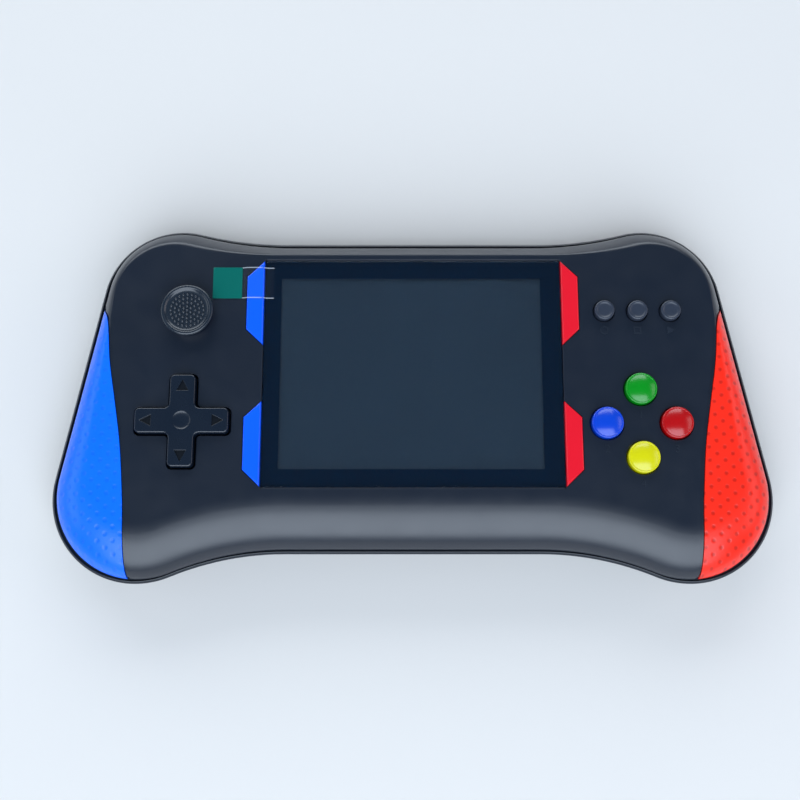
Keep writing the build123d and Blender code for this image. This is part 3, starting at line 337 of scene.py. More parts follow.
stick_x, stick_y, stick_hole = -60.3, 22.5, 5.7
pad_x, pad_y = -60.9, -7.2
pad_hole = {"arm": 3.8, "reach": 12.8, "corner": 1.4, "fillet": 1.05}
face_keys = {
    "green_button": (60.5, 1.5), "blue_button": (51.3, -7.7),
    "red_button": (69.7, -7.7), "yellow_button": (60.5, -16.9),
}
menu_keys = {
    "reset_button": (51.6, 23.1), "select_button": (60.5, 23.1), "start_button": (69.4, 23.1),
}
face_key_hole, menu_key_hole, under_face = 4.5, 2.9, 16.0
window_hole, window_seat = (-40.15, -24.85, 40.15, 37.65), 19.5
display_hole, display_ledge = (-36.8, -21.5, 36.8, 34.3), 17.0
accent_floor = 20.0
accent_marks = {
    "upper": [(40.15, 37.3), (44.8, 32.8), (44.8, 18.1), (40.15, 13.7)],
    "lower": [(40.15, -1.7), (44.8, -6.1), (44.8, -20.1), (40.15, -24.6)],
}
pocket_room = [(-0.6, 0.7), (0.15, 0.07), (0.15, -0.07), (-0.6, -0.7)]
panel_base, panel_seam, panel_recess = 12.2, 0.15, 1.75
panel_steps = ((1.05, 0.12), (0.8, 0.35))

# The shell is hollowed, more thinly between the grips. Then come a recess and two shallow steps
# for each panel, the window's seat, the accents' pockets and the holes of what moves.
front = stacked("front_casing", crown_rows())
middle = crown_inside(shell_wall)
between = rectangle(-grip_wall_x, -60, grip_wall_x, 60)
carve(middle, slab(cut_low - 1, cut_high, between), "INTERSECT")
carve(front, middle)
carve(front, crown_inside(grip_wall))
for left in (False, True):
    for gap, depth in ((panel_seam, panel_recess),) + panel_steps:
        recess = slab(panel_base, cut_high, handed(panel_outline(gap), left))
        carve(recess, crown_inside(depth))
        carve(front, recess)
carve(front, opening(window_seat, lambda g: rectangle(*shrunk(window_hole, -g)), edge=0.15))
carve(front, slab(display_ledge, accent_floor, rectangle(*display_hole)))
for marks in accent_marks.values():
    pocket = [(x + dx, y + dy) for (x, y), (dx, dy) in zip(marks, pocket_room)]
    for left in (False, True):
        carve(front, slab(accent_floor, cut_high, handed(pocket, left)))
carve(front, opening(under_face, lambda g: cross_points(
    pad_x, pad_y, pad_hole["arm"] + g, pad_hole["reach"] + g, pad_hole["corner"] + g,
    pad_hole["fillet"] - g)))
round_holes = [(stick_x, stick_y, stick_hole)]
round_holes += [(x, y, face_key_hole) for x, y in face_keys.values()]
round_holes += [(x, y, menu_key_hole) for x, y in menu_keys.values()]
for x, y, radius in round_holes:
    carve(front, opening(under_face, lambda g: round_points(x, y, radius + g)))


def softened(form, width=0.0, angle=32):
    """Rounds the sharp edges that a moulding never has, and keeps its flats flat in the light."""
    pick(form)
    if width:
        edge = form.modifiers.new("edge", "BEVEL")
        edge.width = width * mm
        edge.segments = 2
        edge.limit_method = "ANGLE"
        edge.angle_limit = math.radians(angle)
        edge.use_clamp_overlap = True
        bpy.ops.object.modifier_apply(modifier="edge")
    bpy.ops.object.shade_smooth_by_angle(angle=math.radians(angle))
    even = form.modifiers.new("even", "WEIGHTED_NORMAL")
    even.keep_sharp = True
    bpy.ops.object.modifier_apply(modifier="even")


softened(front)


def noise_over(made, scale, detail=2):
    """A noise laid over the piece's own coordinates."""
    nodes, links = made.node_tree.nodes, made.node_tree.links
    place = nodes.new("ShaderNodeTexCoord")
    noise = nodes.new("ShaderNodeTexNoise")
    noise.inputs["Scale"].default_value = scale
    noise.inputs["Detail"].default_value = detail
    links.new(place.outputs["Object"], noise.inputs["Vector"])
    return noise.outputs["Fac"]


def spread(made, value, low, high):
    """Turns a value between 0 and 1 into one between these two."""
    node = made.node_tree.nodes.new("ShaderNodeMapRange")
    node.inputs["To Min"].default_value = low
    node.inputs["To Max"].default_value = high
    made.node_tree.links.new(value, node.inputs["Value"])
    return node.outputs["Result"]


def raised_by(made, height, strength, distance):
    """Lets the skin look raised by a value, which stands for a distance in millimetres."""
    relief = made.node_tree.nodes.new("ShaderNodeBump")
    relief.inputs["Strength"].default_value = strength
    relief.inputs["Distance"].default_value = distance * mm
    made.node_tree.links.new(height, relief.inputs["Height"])
    shader = made.node_tree.nodes["Principled BSDF"]
    made.node_tree.links.new(relief.outputs["Normal"], shader.inputs["Normal"])


drift_scale, wear_scale, uneven, grain_depth = 40, 180, 0.15, 0.02


def finish_for(name, colour, roughness, coat=0.0, grain=0.0, grain_size=0.25,
               patchy=0.06, shine=0.5, metal=0.0):
    """A finish whose colour drifts a little, whose gloss is uneven and whose skin has a grain."""
    made, shader = new_finish(name)
    shader.inputs["IOR"].default_value = 1.55
    shader.inputs["Specular IOR Level"].default_value = shine
    shader.inputs["Coat Weight"].default_value = coat
    shader.inputs["Coat Roughness"].default_value = 0.08
    shader.inputs["Metallic"].default_value = metal
    links = made.node_tree.links
    tone = made.node_tree.nodes.new("ShaderNodeValToRGB")
    darker, lighter = tone.color_ramp.elements
    darker.position, lighter.position = 0.3, 0.7
    darker.color = [c * (1 - patchy) for c in colour] + [1]
    lighter.color = [min(c * (1 + patchy), 1) for c in colour] + [1]
    links.new(noise_over(made, drift_scale, detail=3), tone.inputs["Fac"])
    links.new(tone.outputs["Color"], shader.inputs["Base Color"])
    wear = noise_over(made, wear_scale, detail=4)
    gloss = spread(made, wear, roughness * (1 - uneven), min(roughness * (1 + uneven), 1))
    links.new(gloss, shader.inputs["Roughness"])
    if grain:
        raised_by(made, noise_over(made, 1 / (grain_size * mm)), grain, grain_depth)
    return made


def put_on(piece, finish, body, slot, *nodes):
    """Gives a finished piece its material, its body and the parts it stands for."""
    piece.data.materials.clear()
    piece.data.materials.append(finish)
    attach(piece, body)
    if nodes:
        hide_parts(*nodes)


casing_finish = finish_for("black_casing", (0.0012, 0.0050, 0.0145), 0.35, grain=0.2, shine=0.62)
put_on(front, casing_finish, "root", "shell_plastic", "front_shell")

# ---------------------------------------------------------------- grip panels
# The blue and the red skin over the two grips, moulded in gloss plastic with staggered dimples
# for the fingers. Each clips into the casing's recess along a thin dark seam.
panel_thick, panel_edge = 1.6, 0.14
dimple_across, dimple_along = 2.05, 3.5
dimple_floor, dimple_rim, dimple_relief = 0.15, 0.85, 0.08


def grip_panel(name, left):
    panel = stacked(name, crown_rows())
    area = handed(panel_outline(0), left)
    carve(panel, slab(panel_base + panel_seam, cut_high, area), "INTERSECT")
    carve(panel, crown_inside(panel_thick))
    softened(panel, panel_edge)
    return panel


def dimpled(made, depth):
    """Adds dimples in columns, every second column half a step lower, and paints shade into them:
    the colour falls to this share, depth, in a dimple's middle.
    """
    nodes, links = made.node_tree.nodes, made.node_tree.links
    place = nodes.new("ShaderNodeTexCoord")
    split = nodes.new("ShaderNodeSeparateXYZ")
    links.new(place.outputs["Object"], split.inputs["Vector"])

    def worked(operation, *values):
        node = nodes.new("ShaderNodeMath")
        node.operation = operation
        for socket, value in zip(node.inputs, values):
            if isinstance(value, (int, float)):
                socket.default_value = value
            else:
                links.new(value, socket)
        return node.outputs["Value"]

    column = worked("DIVIDE", split.outputs["X"], dimple_across * mm)
    nearest = worked("ROUND", column)
    across = worked("MULTIPLY", worked("SUBTRACT", column, nearest), dimple_across)
    odd = worked("MULTIPLY", worked("FLOORED_MODULO", nearest, 2.0), 0.5)
    row = worked("SUBTRACT", worked("DIVIDE", split.outputs["Y"], dimple_along * mm), odd)
    along = worked("MULTIPLY", worked("SUBTRACT", row, worked("ROUND", row)), dimple_along)
    away = worked("SQRT", worked("ADD", worked("MULTIPLY", across, across),
                                 worked("MULTIPLY", along, along)))
    dish = nodes.new("ShaderNodeMapRange")
    dish.interpolation_type = "SMOOTHSTEP"
    dish.inputs["From Min"].default_value = dimple_floor
    dish.inputs["From Max"].default_value = dimple_rim
    links.new(away, dish.inputs["Value"])
    raised_by(made, dish.outputs["Result"], 1.0, dimple_relief)
    # Painted shade: the base colour is scaled down towards each dimple's middle
    socket = nodes["Principled BSDF"].inputs["Base Color"]
    painted_dimple_shade = nodes.new("ShaderNodeVectorMath")
    painted_dimple_shade.operation = "SCALE"
    links.new(socket.links[0].from_socket, painted_dimple_shade.inputs[0])
    links.new(spread(made, dish.outputs["Result"], depth, 1.0), painted_dimple_shade.inputs["Scale"])
    links.new(painted_dimple_shade.outputs["Vector"], socket)


blue_finish = finish_for("blue_gloss", (0.0005, 0.140, 0.95), 0.32, patchy=0.03, shine=0.34)
red_finish = finish_for("red_gloss", (0.92, 0.020, 0.006), 0.32, patchy=0.03, shine=0.34)
# The dimples are bumps in the skin with painted shade in their middles, darker on the red than on
# the blue
dimpled(blue_finish, 0.9)
dimpled(red_finish, 0.6)
put_on(grip_panel("red_grip", False), red_finish, "root", "red_grip", "right_grip_panel")
put_on(grip_panel("blue_grip", True), blue_finish, "root", "blue_grip", "left_grip_panel")

# ---------------------------------------------------------------- window and display
# A clear acrylic plate glued into the casing, with a near-black border printed under its rim, and
# the display behind it: a glass panel in a pressed metal tray, joined to the board by a ribbon.
window_box, window_corner = (-40, -24.7, 40, 37.5), 0.7
lit_box, lit_corner, print_level = (-35.6, -19.8, 34.7, 32.7), 0.3, 19.55
window_steps = ((19.55, 0.05), (19.6, 0.0), (20.55, 0.0), (20.68, 0.06), (20.77, 0.17), (20.8, 0.3))


def rounded_rectangle(x0, y0, x1, y1, radius):
    corners = [(x1 - radius, y0 + radius), (x1 - radius, y1 - radius),
               (x0 + radius, y1 - radius), (x0 + radius, y0 + radius)]
    points = []
    for n, (cx, cy) in enumerate(corners):
        points += corner_points(cx, cy, radius, 90 * n - 90, steps=4)
    return points


window = stacked("window", [(print_level, rounded_rectangle(*lit_box, lit_corner))] + [
    (z, rounded_rectangle(*shrunk(window_box, d), window_corner - d)) for z, d in window_steps
])
softened(window, angle=25)


def clear_finish(name, colour, waves, smooth, rough):
    """A clear plastic whose gloss drifts between two values, and its shader."""
    made, shader = new_finish(name)
    shader.inputs["Base Color"].default_value = colour
    gloss = spread(made, noise_over(made, waves), smooth, rough)
    made.node_tree.links.new(gloss, shader.inputs["Roughness"])
    return made, shader


clear_acrylic, shader = clear_finish("clear_acrylic", (0.93, 0.96, 0.98, 1), 30, 0.02, 0.06)
shader.inputs["Transmission Weight"].default_value = 1.0
shader.inputs["IOR"].default_value = 1.49
border_print = finish_for("border_print", (0.0025, 0.013, 0.034), 0.5, patchy=0.03, shine=0.0)
window.data.materials.clear()
window.data.materials.append(clear_acrylic)
window.data.materials.append(border_print)

# The print covers the underside, but not the flat whose middle lies in the lit area
for part in window.data.polygons:
    x, y = part.center.x / mm, part.center.y / mm
    lit = abs(x) < 20 and -10 < y < 25
    if part.normal.z < -0.9 and not lit:
        part.material_index = 1
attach(window, "root")
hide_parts("screen_window")


def dressed(finish, *nodes):
    """Puts a finish on parts whose shape is right as it is."""
    for node in nodes:
        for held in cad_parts[node].material_slots:
            held.material = finish


display_finish = finish_for("display_off", (0.022, 0.040, 0.066), 0.22, coat=0.5, patchy=0.05)
dressed(display_finish, "display_panel")
tray = finish_for("pressed_tray", (0.55, 0.56, 0.58), 0.38, grain=0.1, patchy=0.04, metal=1.0)
dressed(tray, "display_tray")
dressed(finish_for("amber_ribbon", (0.42, 0.16, 0.03), 0.35, coat=0.3), "display_flex")
dressed(finish_for("cream_nylon", (0.62, 0.58, 0.50), 0.5), "display_connector")

# ---------------------------------------------------------------- accents beside the window
# Four coloured inlays in gloss plastic, pressed into pockets beside the window: a plate cut to a
# trapezium, broadly bevelled towards the window and narrowly all round.
accent_steps = (
    (20.0, 0.0, 0.0), (20.9, 0.0, 0.0), (21.2, 0.1, 0.03), (21.36, 0.2, 0.12),
    (21.46, 0.32, 0.24), (21.5, 0.46, 0.38),
)
accent_edge = 0.05


def accent_inlay(name, marks, left):
    """An inlay whose steps say how far it is pulled in, by the window and away from it."""
    (x0, y0), (x1, y1), (x2, y2), (x3, y3) = marks
    loops = []
    for z, inner, outer in accent_steps:
        slant = 1.9 * outer
        corners = [(x3 + inner, y3 + slant + inner * 0.9), (x2 - outer, y2 + 0.6 * outer),
                   (x1 - outer, y1 - 0.6 * outer), (x0 + inner, y0 - slant - inner * 0.9)]
        loops.append((z, handed(corners, left)))
    inlay = stacked(name, loops)
    softened(inlay, accent_edge, angle=18)
    return inlay


blue_accent_finish = finish_for("blue_inlay", (0.0005, 0.10, 0.97), 0.24, coat=0.2, patchy=0.02)
red_accent_finish = finish_for("red_inlay", (0.74, 0.005, 0.018), 0.24, coat=0.2, patchy=0.02)
for level, marks in accent_marks.items():
    put_on(accent_inlay(level + "_blue_inlay", marks, True), blue_accent_finish, "root",
           "blue_trim", level + "_left_accent")
    put_on(accent_inlay(level + "_red_inlay", marks, False), red_accent_finish, "root",
           "red_trim", level + "_right_accent")

# ---------------------------------------------------------------- pull strip of the window film
# A narrow strip of clear film that lies from the window over the blue accent, with a green tab at
# its end to pull it by. Both are thin and stay a little wavy.
film_low, film_high, film_thick = 26.7, 35.5, 0.12
film_middle, film_plain = 31.1, 4.12


def film_band(name, points):
    """A thin band: a plate divided along its length, bent to a profile, then given thickness."""
    bpy.ops.object.select_all(action="DESELECT")
    bpy.ops.mesh.primitive_grid_add(x_subdivisions=len(points) - 1, y_subdivisions=6, size=1)
    band = bpy.context.object
    band.name = name
    for vertex in band.data.vertices:
        x, z = points[round((vertex.co.x + 0.5) * (len(points) - 1))]
        y = film_low + (film_high - film_low) * (vertex.co.y + 0.5)
        vertex.co = (x * mm, y * mm, z * mm)
    wall = band.modifiers.new("wall", "SOLIDIFY")
    wall.thickness = film_thick * mm
    wall.offset = 1
    bpy.ops.object.modifier_apply(modifier="wall")
    faces_outwards()
    softened(band, 0.04, angle=40)
    return band


strip_profile = [
    (-46.15, 21.08), (-46.0, 21.1), (-45.5, 21.22), (-45.1, 21.42), (-44.8, 21.53), (-44.0, 21.56),
    (-43.0, 21.56), (-42.0, 21.56), (-41.4, 21.54), (-41.0, 21.48), (-40.5, 21.32), (-40.0, 21.14),
    (-39.6, 20.98), (-39.2, 20.89), (-38.6, 20.86), (-37.6, 20.86),
]
strip = film_band("film_strip", strip_profile)
clear_film, shader = clear_finish("clear_film", (0.75, 0.80, 0.86, 1), 260, 0.08, 0.22)
film_nodes, film_links = clear_film.node_tree.nodes, clear_film.node_tree.links

# The film hardly shows, apart from its two long edges, where a paler, more opaque band is painted
# as their highlight
spot = film_nodes.new("ShaderNodeTexCoord")
apart = film_nodes.new("ShaderNodeSeparateXYZ")
plain = film_nodes.new("ShaderNodeMath")
plain.operation = "COMPARE"
plain.inputs[1].default_value = film_middle * mm
plain.inputs[2].default_value = film_plain * mm
film_links.new(spot.outputs["Object"], apart.inputs["Vector"])
film_links.new(apart.outputs["Y"], plain.inputs[0])
painted_edge_glint = spread(clear_film, plain.outputs["Value"], 0.22, 0.003)
film_links.new(painted_edge_glint, shader.inputs["Alpha"])
put_on(strip, clear_film, "root", "clear_film", "screen_film_strip")

tab_end, tab_length, tab_level, tab_wave = -54.1, 7.95, 21.07, 0.03
tab_profile = [
    (tab_end + tab_length * n / 12, tab_level + tab_wave * math.sin(n * 0.9)) for n in range(13)
]
tab_finish = finish_for("green_tab", (0.0005, 0.115, 0.092), 0.3, patchy=0.04, shine=0.25)
put_on(film_band("film_tab", tab_profile), tab_finish, "root", "green_film", "screen_film_tab")

# ---------------------------------------------------------------- thumbstick
# A dished rubber cap that slides both ways over the face, its dish studded with rings of small
# pips for grip. Its square stem runs in a nylon carriage inside a housing soldered to the board.
cap_rows = [
    (17.9, 8.2), (18.65, 8.2), (18.7, 3.0), (21.6, 3.0), (21.62, 6.05), (21.75, 6.2),
    (23.9, 6.93), (24.2, 7.0), (24.42, 6.98), (24.6, 6.88), (24.73, 6.7), (24.8, 6.46),
    (24.78, 6.22), (24.68, 6.02), (24.5, 5.84), (24.3, 5.62), (24.17, 5.3), (24.08, 4.6),
    (24.02, 3.4), (24.0, 1.8), (24.0, 0.5),
]
pip_rows = ((0, 0.43), (0.18, 0.41), (0.34, 0.30), (0.42, 0.13))
pip_rings, ring_gap, dish_floor, outer_dish = (1, 6, 12, 18, 24), 1.1, 23.96, 24.0
stem_low, stem_high, stem_half = 13.2, 18.0, 1.6


def turned(name, x, y, rows, count=72):
    """A turned form: rounds of these radii at these heights."""
    return stacked(name, [(z, round_points(x, y, r, count)) for z, r in rows])


def square_around(x, y, half):
    return rectangle(x - half, y - half, x + half, y + half)


def twin(form):
    """A second piece of the same shape."""
    copy = form.copy()
    copy.data = form.data.copy()
    bpy.context.collection.objects.link(copy)
    return copy


def moved(form, x, y, z):
    """Moves a form's points, so that its own coordinates stay those of the frame."""
    for vertex in form.data.vertices:
        vertex.co.x += x * mm
        vertex.co.y += y * mm
        vertex.co.z += z * mm
    return form


def joined(first, others):
    """Makes one piece of several that are moulded together."""
    pick(first)
    for other in others:
        other.select_set(True)
    bpy.ops.object.join()
    return first


cap = turned("thumb_cap", stick_x, stick_y, cap_rows, 96)
stem = slab(stem_low, stem_high, square_around(stick_x, stick_y, stem_half))
pip = turned("pip", 0, 0, pip_rows, 8)
pips = []
for ring, count in enumerate(pip_rings):
    reach = ring_gap * ring
    for n in range(count):
        a = 2 * math.pi * (n + 0.5 * (ring % 2)) / count
        pips.append(moved(twin(pip), stick_x + reach * math.cos(a), stick_y + reach * math.sin(a),
                          outer_dish if ring == 4 else dish_floor))
bpy.data.objects.remove(pip)
softened(cap)
joined(cap, pips + [stem])
softened(cap, angle=28)
stick_rubber = finish_for("stick_rubber", (0.010, 0.016, 0.026), 0.26, grain=0.1, grain_size=0.18)
put_on(cap, stick_rubber, "thumbstick", "stick_rubber", "thumbstick_cap")
dark_nylon = finish_for("dark_nylon", (0.030, 0.031, 0.033), 0.5, grain=0.2)
dressed(dark_nylon, "thumbstick_carriage", "thumbstick_housing")

# ---------------------------------------------------------------- cross pad
# One moulding in satin black plastic with a dished middle and four engraved arrows. Its flange
# lies under the face, and it rocks on a ball that a post on the board holds up.
pad_arm, pad_reach, pad_corner, pad_fillet = 3.35, 12.35, 1.3, 1.4
pad_top, pad_edge, arrow_floor = 23.0, 0.42, 22.45
pad_rows = [(17.2, 0.0), (22.4, 0.0)]
pad_rows += [(pad_top - pad_edge + pad_edge * math.sin(a), pad_edge * (1 - math.cos(a)))
             for a in (math.radians(15 * n) for n in range(1, 7))]
dish_rows = ((22.62, 0.3), (22.63, 0.9), (22.67, 1.5), (22.75, 2.0), (22.86, 2.35), (23.0, 2.6),
             (23.2, 2.75))
arrow_tip, arrow_foot, arrow_half = 10.95, 8.05, 1.5
arrow_steps = ((arrow_floor, 0.0), (22.85, 0.0), (22.94, 0.05), (23.01, 0.18), (23.3, 0.2))
flange_rows = ((16.72, 12.7), (16.8, 12.85), (17.7, 12.85), (17.8, 12.7))
cup_rows = ((16.0, 3.4), (16.9, 3.4))

pad = stacked("cross_pad", [
    (z, cross_points(pad_x, pad_y, pad_arm - g, pad_reach - g, pad_corner - g, pad_fillet + g))
    for z, g in pad_rows
])
carve(pad, turned("dish", pad_x, pad_y, dish_rows))
for side in range(4):
    a = math.radians(90 * side)
    rows = []
    for z, grow in arrow_steps:
        tip, foot, half = arrow_tip + 2 * grow, arrow_foot - grow, arrow_half + 1.6 * grow
        flat = [(tip, 0), (foot, half), (foot, -half)]
        rows.append((z, [(pad_x + x * math.cos(a) - y * math.sin(a),
                          pad_y + x * math.sin(a) + y * math.cos(a)) for x, y in flat]))
    carve(pad, stacked("arrow", rows))
flange = turned("flange", pad_x, pad_y, flange_rows)
cup = turned("cup", pad_x, pad_y, cup_rows, 36)
softened(pad)
joined(pad, [flange, cup])
softened(pad)
pad_finish = finish_for("satin_black", (0.0035, 0.0080, 0.0175), 0.27, grain=0.1)
put_on(pad, pad_finish, "dpad", "key_plastic", "dpad_cross")
pad.data.materials.append(finish_for("arrow_floor", (0.0012, 0.0022, 0.005), 0.3))

# The floors of the four arrows are darker than the pad
for part in pad.data.polygons:
    away = max(abs(part.center.x / mm - pad_x), abs(part.center.y / mm - pad_y))
    level = abs(part.center.z / mm - arrow_floor) < 0.1
    if part.normal.z > 0.9 and level and 7.5 < away < 11.5:
        part.material_index = 1
bright_steel = finish_for("bright_steel", (0.60, 0.60, 0.61), 0.25, patchy=0.03, metal=1.0)
dressed(bright_steel, "dpad_ball")
dressed(dark_nylon, "dpad_post")

# ---------------------------------------------------------------- four face keys
# Gloss plastic keys in green, blue, red and yellow: a flange that the face holds down, a straight
# wall, a fine bead round the top and a low dome inside it.
key_rows = [
    (17.95, 5.35), (18.05, 5.4), (18.9, 5.4), (18.95, 4.22), (22.24, 4.22), (22.4, 4.19),
    (22.52, 4.11), (22.6, 3.99), (22.62, 3.86), (22.58, 3.76), (22.48, 3.70),
]
dome_foot, dome_rise, dome_radius = 22.46, 0.9, 3.7
key_rows += [(dome_foot + dome_rise * (1 - (r / dome_radius) ** 2), r)
             for r in (3.6, 3.4, 3.0, 2.5, 1.9, 1.25, 0.6, 0.15)]
shank_low, shank_high = 14.75, 18.0
key_colours = {
    "green_button": (0.0005, 0.24, 0.008), "blue_button": (0.0005, 0.048, 0.52),
    "red_button": (0.42, 0.001, 0.002), "yellow_button": (0.62, 0.58, 0.0005),
}


def guided_key(name, x, y, rows, count, shank_half):
    """A turned key with the square shank that guides it under the face."""
    key = turned(name.replace("button", "key"), x, y, rows, count)
    softened(key, angle=40)
    return joined(key, [slab(shank_low, shank_high, square_around(x, y, shank_half))])


for name, (x, y) in face_keys.items():
    key = guided_key(name, x, y, key_rows, 72, 1.7)
    gloss = finish_for(name.replace("button", "gloss"), key_colours[name], 0.22, patchy=0.03)
    put_on(key, gloss, name, name.replace("button", "plastic"), name)

# ---------------------------------------------------------------- three menu keys
# Small grey keys in a row, each with a rounded rim and a shallow dish, held by a flange as the
# others are.
small_rows = [
    (18.0, 3.45), (18.05, 3.5), (18.9, 3.5), (18.95, 2.7), (22.2, 2.7), (22.4, 2.68),
    (22.56, 2.6), (22.66, 2.46), (22.7, 2.28), (22.67, 2.1), (22.58, 1.95), (22.5, 1.7),
    (22.46, 1.2), (22.45, 0.4),
]
menu_finish = finish_for("grey_keys", (0.022, 0.029, 0.047), 0.34, grain=0.15)
for name, (x, y) in menu_keys.items():
    put_on(guided_key(name, x, y, small_rows, 48, 1.1), menu_finish, name, "key_plastic", name)

# ---------------------------------------------------------------- raised marks beside the keys
# Plain marks moulded with the casing, a tenth of a millimetre high: a number under each of the
# four keys, and a ring, a square and a triangle under the menu keys.
digit_drop, digit_size, digit_rise = 7.7, 3.0, 0.08
mark_drop, mark_sunk, mark_rise = 5.2, 0.05, 0.1


def raised_mark(name, outer, inner=None):
    mark = stacked(name, [(face - mark_sunk, outer), (face + mark_rise, outer)])
    if inner:
        carve(mark, slab(face - 1, face + 1, inner))
    return mark


marks = []
for number, (x, y) in enumerate(face_keys.values(), start=1):
    bpy.ops.object.select_all(action="DESELECT")
    bpy.ops.object.text_add(location=(0, 0, 0))
    digit = bpy.context.object
    digit.data.body = str(number)
    digit.data.size = digit_size * mm
    digit.data.align_x = "CENTER"
    digit.data.extrude = digit_rise * mm
    digit.data.resolution_u = 3
    bpy.ops.object.convert(target="MESH")
    digit = bpy.context.object
    digit.name = "digit" + str(number)
    marks.append(moved(digit, x, y - digit_drop, face + 0.02))
(rx, ry), (sx, sy), (tx, ty) = [(x, y - mark_drop) for x, y in menu_keys.values()]
ring = [round_points(rx, ry, radius, 32) for radius in (1.15, 0.8)]
square = [square_around(sx, sy, half) for half in (1, 0.65)]
triangle = [(tx - 0.9, ty - 1.1), (tx + 1.2, ty), (tx - 0.9, ty + 1.1)]
marks.append(raised_mark("ring_mark", *ring))
marks.append(raised_mark("square_mark", *square))
marks.append(raised_mark("triangle_mark", triangle))
marks = joined(marks[-1], marks[:-1])
marks.name = "key_marks"
softened(marks, angle=30)
mark_finish = finish_for("raised_black", (0.012, 0.017, 0.028), 0.30, patchy=0.03)
put_on(marks, mark_finish, "root", "shell_plastic")

# ---------------------------------------------------------------- rubber sheets and board
# Three silicone sheets with a dome under each key, on a green laminate board with its two chips,
# held up under the front shell by four screws.
silicone = finish_for("grey_silicone", (0.36, 0.37, 0.38), 0.6, grain=0.15)
dressed(silicone, "dpad_membrane", "face_button_membrane", "menu_button_membrane")


def board_mask():
    """Green solder mask over copper tracks that run in short straight steps."""
    made = finish_for("green_board", (0.008, 0.10, 0.035), 0.34, coat=0.3)
    nodes, links = made.node_tree.nodes, made.node_tree.links
    spot = nodes.new("ShaderNodeTexCoord")
    tracks = nodes.new("ShaderNodeTexBrick")
    tracks.inputs["Scale"].default_value = 300
    tracks.inputs["Mortar Size"].default_value = 0.03
    tracks.inputs["Color1"].default_value = (0.008, 0.10, 0.035, 1)
    tracks.inputs["Color2"].default_value = (0.010, 0.12, 0.042, 1)
    tracks.inputs["Mortar"].default_value = (0.022, 0.19, 0.075, 1)
    links.new(spot.outputs["Object"], tracks.inputs["Vector"])
    links.new(tracks.outputs["Color"], nodes["Principled BSDF"].inputs["Base Color"])
    return made


dressed(board_mask(), "main_board")
chip_epoxy = finish_for("chip_epoxy", (0.018, 0.018, 0.019), 0.45, grain=0.3)
dressed(chip_epoxy, "processor_chip", "memory_chip")
dressed(bright_steel, "board_screws")

# ---------------------------------------------------------------- rear shell
# The lower half of the casing: a basin with a rolled edge, whose rim carries a fine raised bead
# outside the front shell's foot. It has a bay for the battery, a seat for the speaker behind five
# slots, six screw posts, and the openings of the fittings along its top edge.
rear_roll, roll_share, rear_wall = 9.0, 0.55, 2.2
rim_foot, over_rim, under_back = 11.3, 13.0, -1
rim_rows = [
    (rim_foot, 0.0), (11.42, 0.03), (11.54, 0.11), (11.88, 0.44), (11.96, 0.53), (12.0, 0.62),
    (11.96, 0.7), (11.85, 0.76), (11.4, 0.79), (11.35, 0.85), (11.35, 2.2),
]
liner_outer, liner_inner, liner_grow, liner_high = 2.05, 3.6, 1.4, 10.8
bay_box, bay_wall, bay_low, bay_high, cell_room = (-26.8, -18.3, 29.25, 16.3), 1.2, 3.0, 9.6, 8.4
cover_half, cover_front, cover_back, cover_gap = 32, -52, 18.5, 0.2
groove_box, groove_low, groove_high = (-33.1, -46, 33.1, 18.1), 0.72, 1.68
screw_places = [(side * x, y) for side in (-1, 1) for x, y in ((65, 37.65), (83, -24), (40, -32.7))]
post_radius, post_low, post_high, post_inset = 3.5, 1.5, 9.1, 1.4
head_hole, head_deep, screw_hole, screw_deep = 2.6, 5.0, 1.45, 10.2
speaker_x, speaker_y, seat_half, seat_wall = -60.5, -23.3, 11.2, 1.0
seat_low, seat_high, seat_inset = 2.0, 4.8, 1.6
slot_gap, slot_half, slot_reach, slot_corner, slot_flare, slot_deep = 3.2, 0.7, 6.5, 0.68, 0.25, 3.5
jack_x, jack_z, jack_mouth, socket_x, switch_x, wheel_x = 8, 7.9, 2.8, -8, -28, 28

# Mouths in the top edge: place, half width, height, half height, corner and where they start
edge_mouths = (
    (socket_x, 4.3, 9.05, 1.85, 1.0, 38.0), (switch_x, 2.7, 8.65, 1.1, 0.4, 38.0),
    (switch_x, 4.1, 8.65, 1.7, 0.5, 43.6), (wheel_x, 6.5, 8.25, 1.35, 0.25, 38.0),
)
fitting_rooms = ((jack_x, 3.4, 5.1, 42.7), (switch_x, 4.8, 6.6, 42.9), (wheel_x, 3.6, 5.9, 42.4))
beyond_edge = 47.0


def basin_rows(depth=0.0):
    """Level outlines of the lower half, from the back up, or of a parallel surface inside it."""
    roll = rear_roll - roll_share * depth
    rows = []
    for turn in (90, 84, 77, 69, 60, 50, 40, 30, 20, 10, 0):
        a = math.radians(turn)
        loop = rim_loop(pulled_in(rim_form, depth + roll * (1 - math.cos(a))))
        rows.append((parting - (parting - depth) * math.sin(a), loop))
    return rows


def basin_inside(depth):
    """A form that fills the lower half this deep inside it and stands over its rim."""
    rows = basin_rows(depth)
    return stacked("inside", rows + [(over_rim, rows[-1][1])])


def cover_area(grow):
    return rectangle(-cover_half - grow, cover_front, cover_half + grow, cover_back + grow)


wall_rows = [(z, rim_loop(pulled_in(rim_form, inset))) for z, inset in rim_rows]
inner_rows = [(z, loop) for z, loop in reversed(basin_rows(rear_wall)) if z < rim_foot]
rear = stacked("rear_casing", basin_rows()[:-1] + wall_rows + inner_rows)

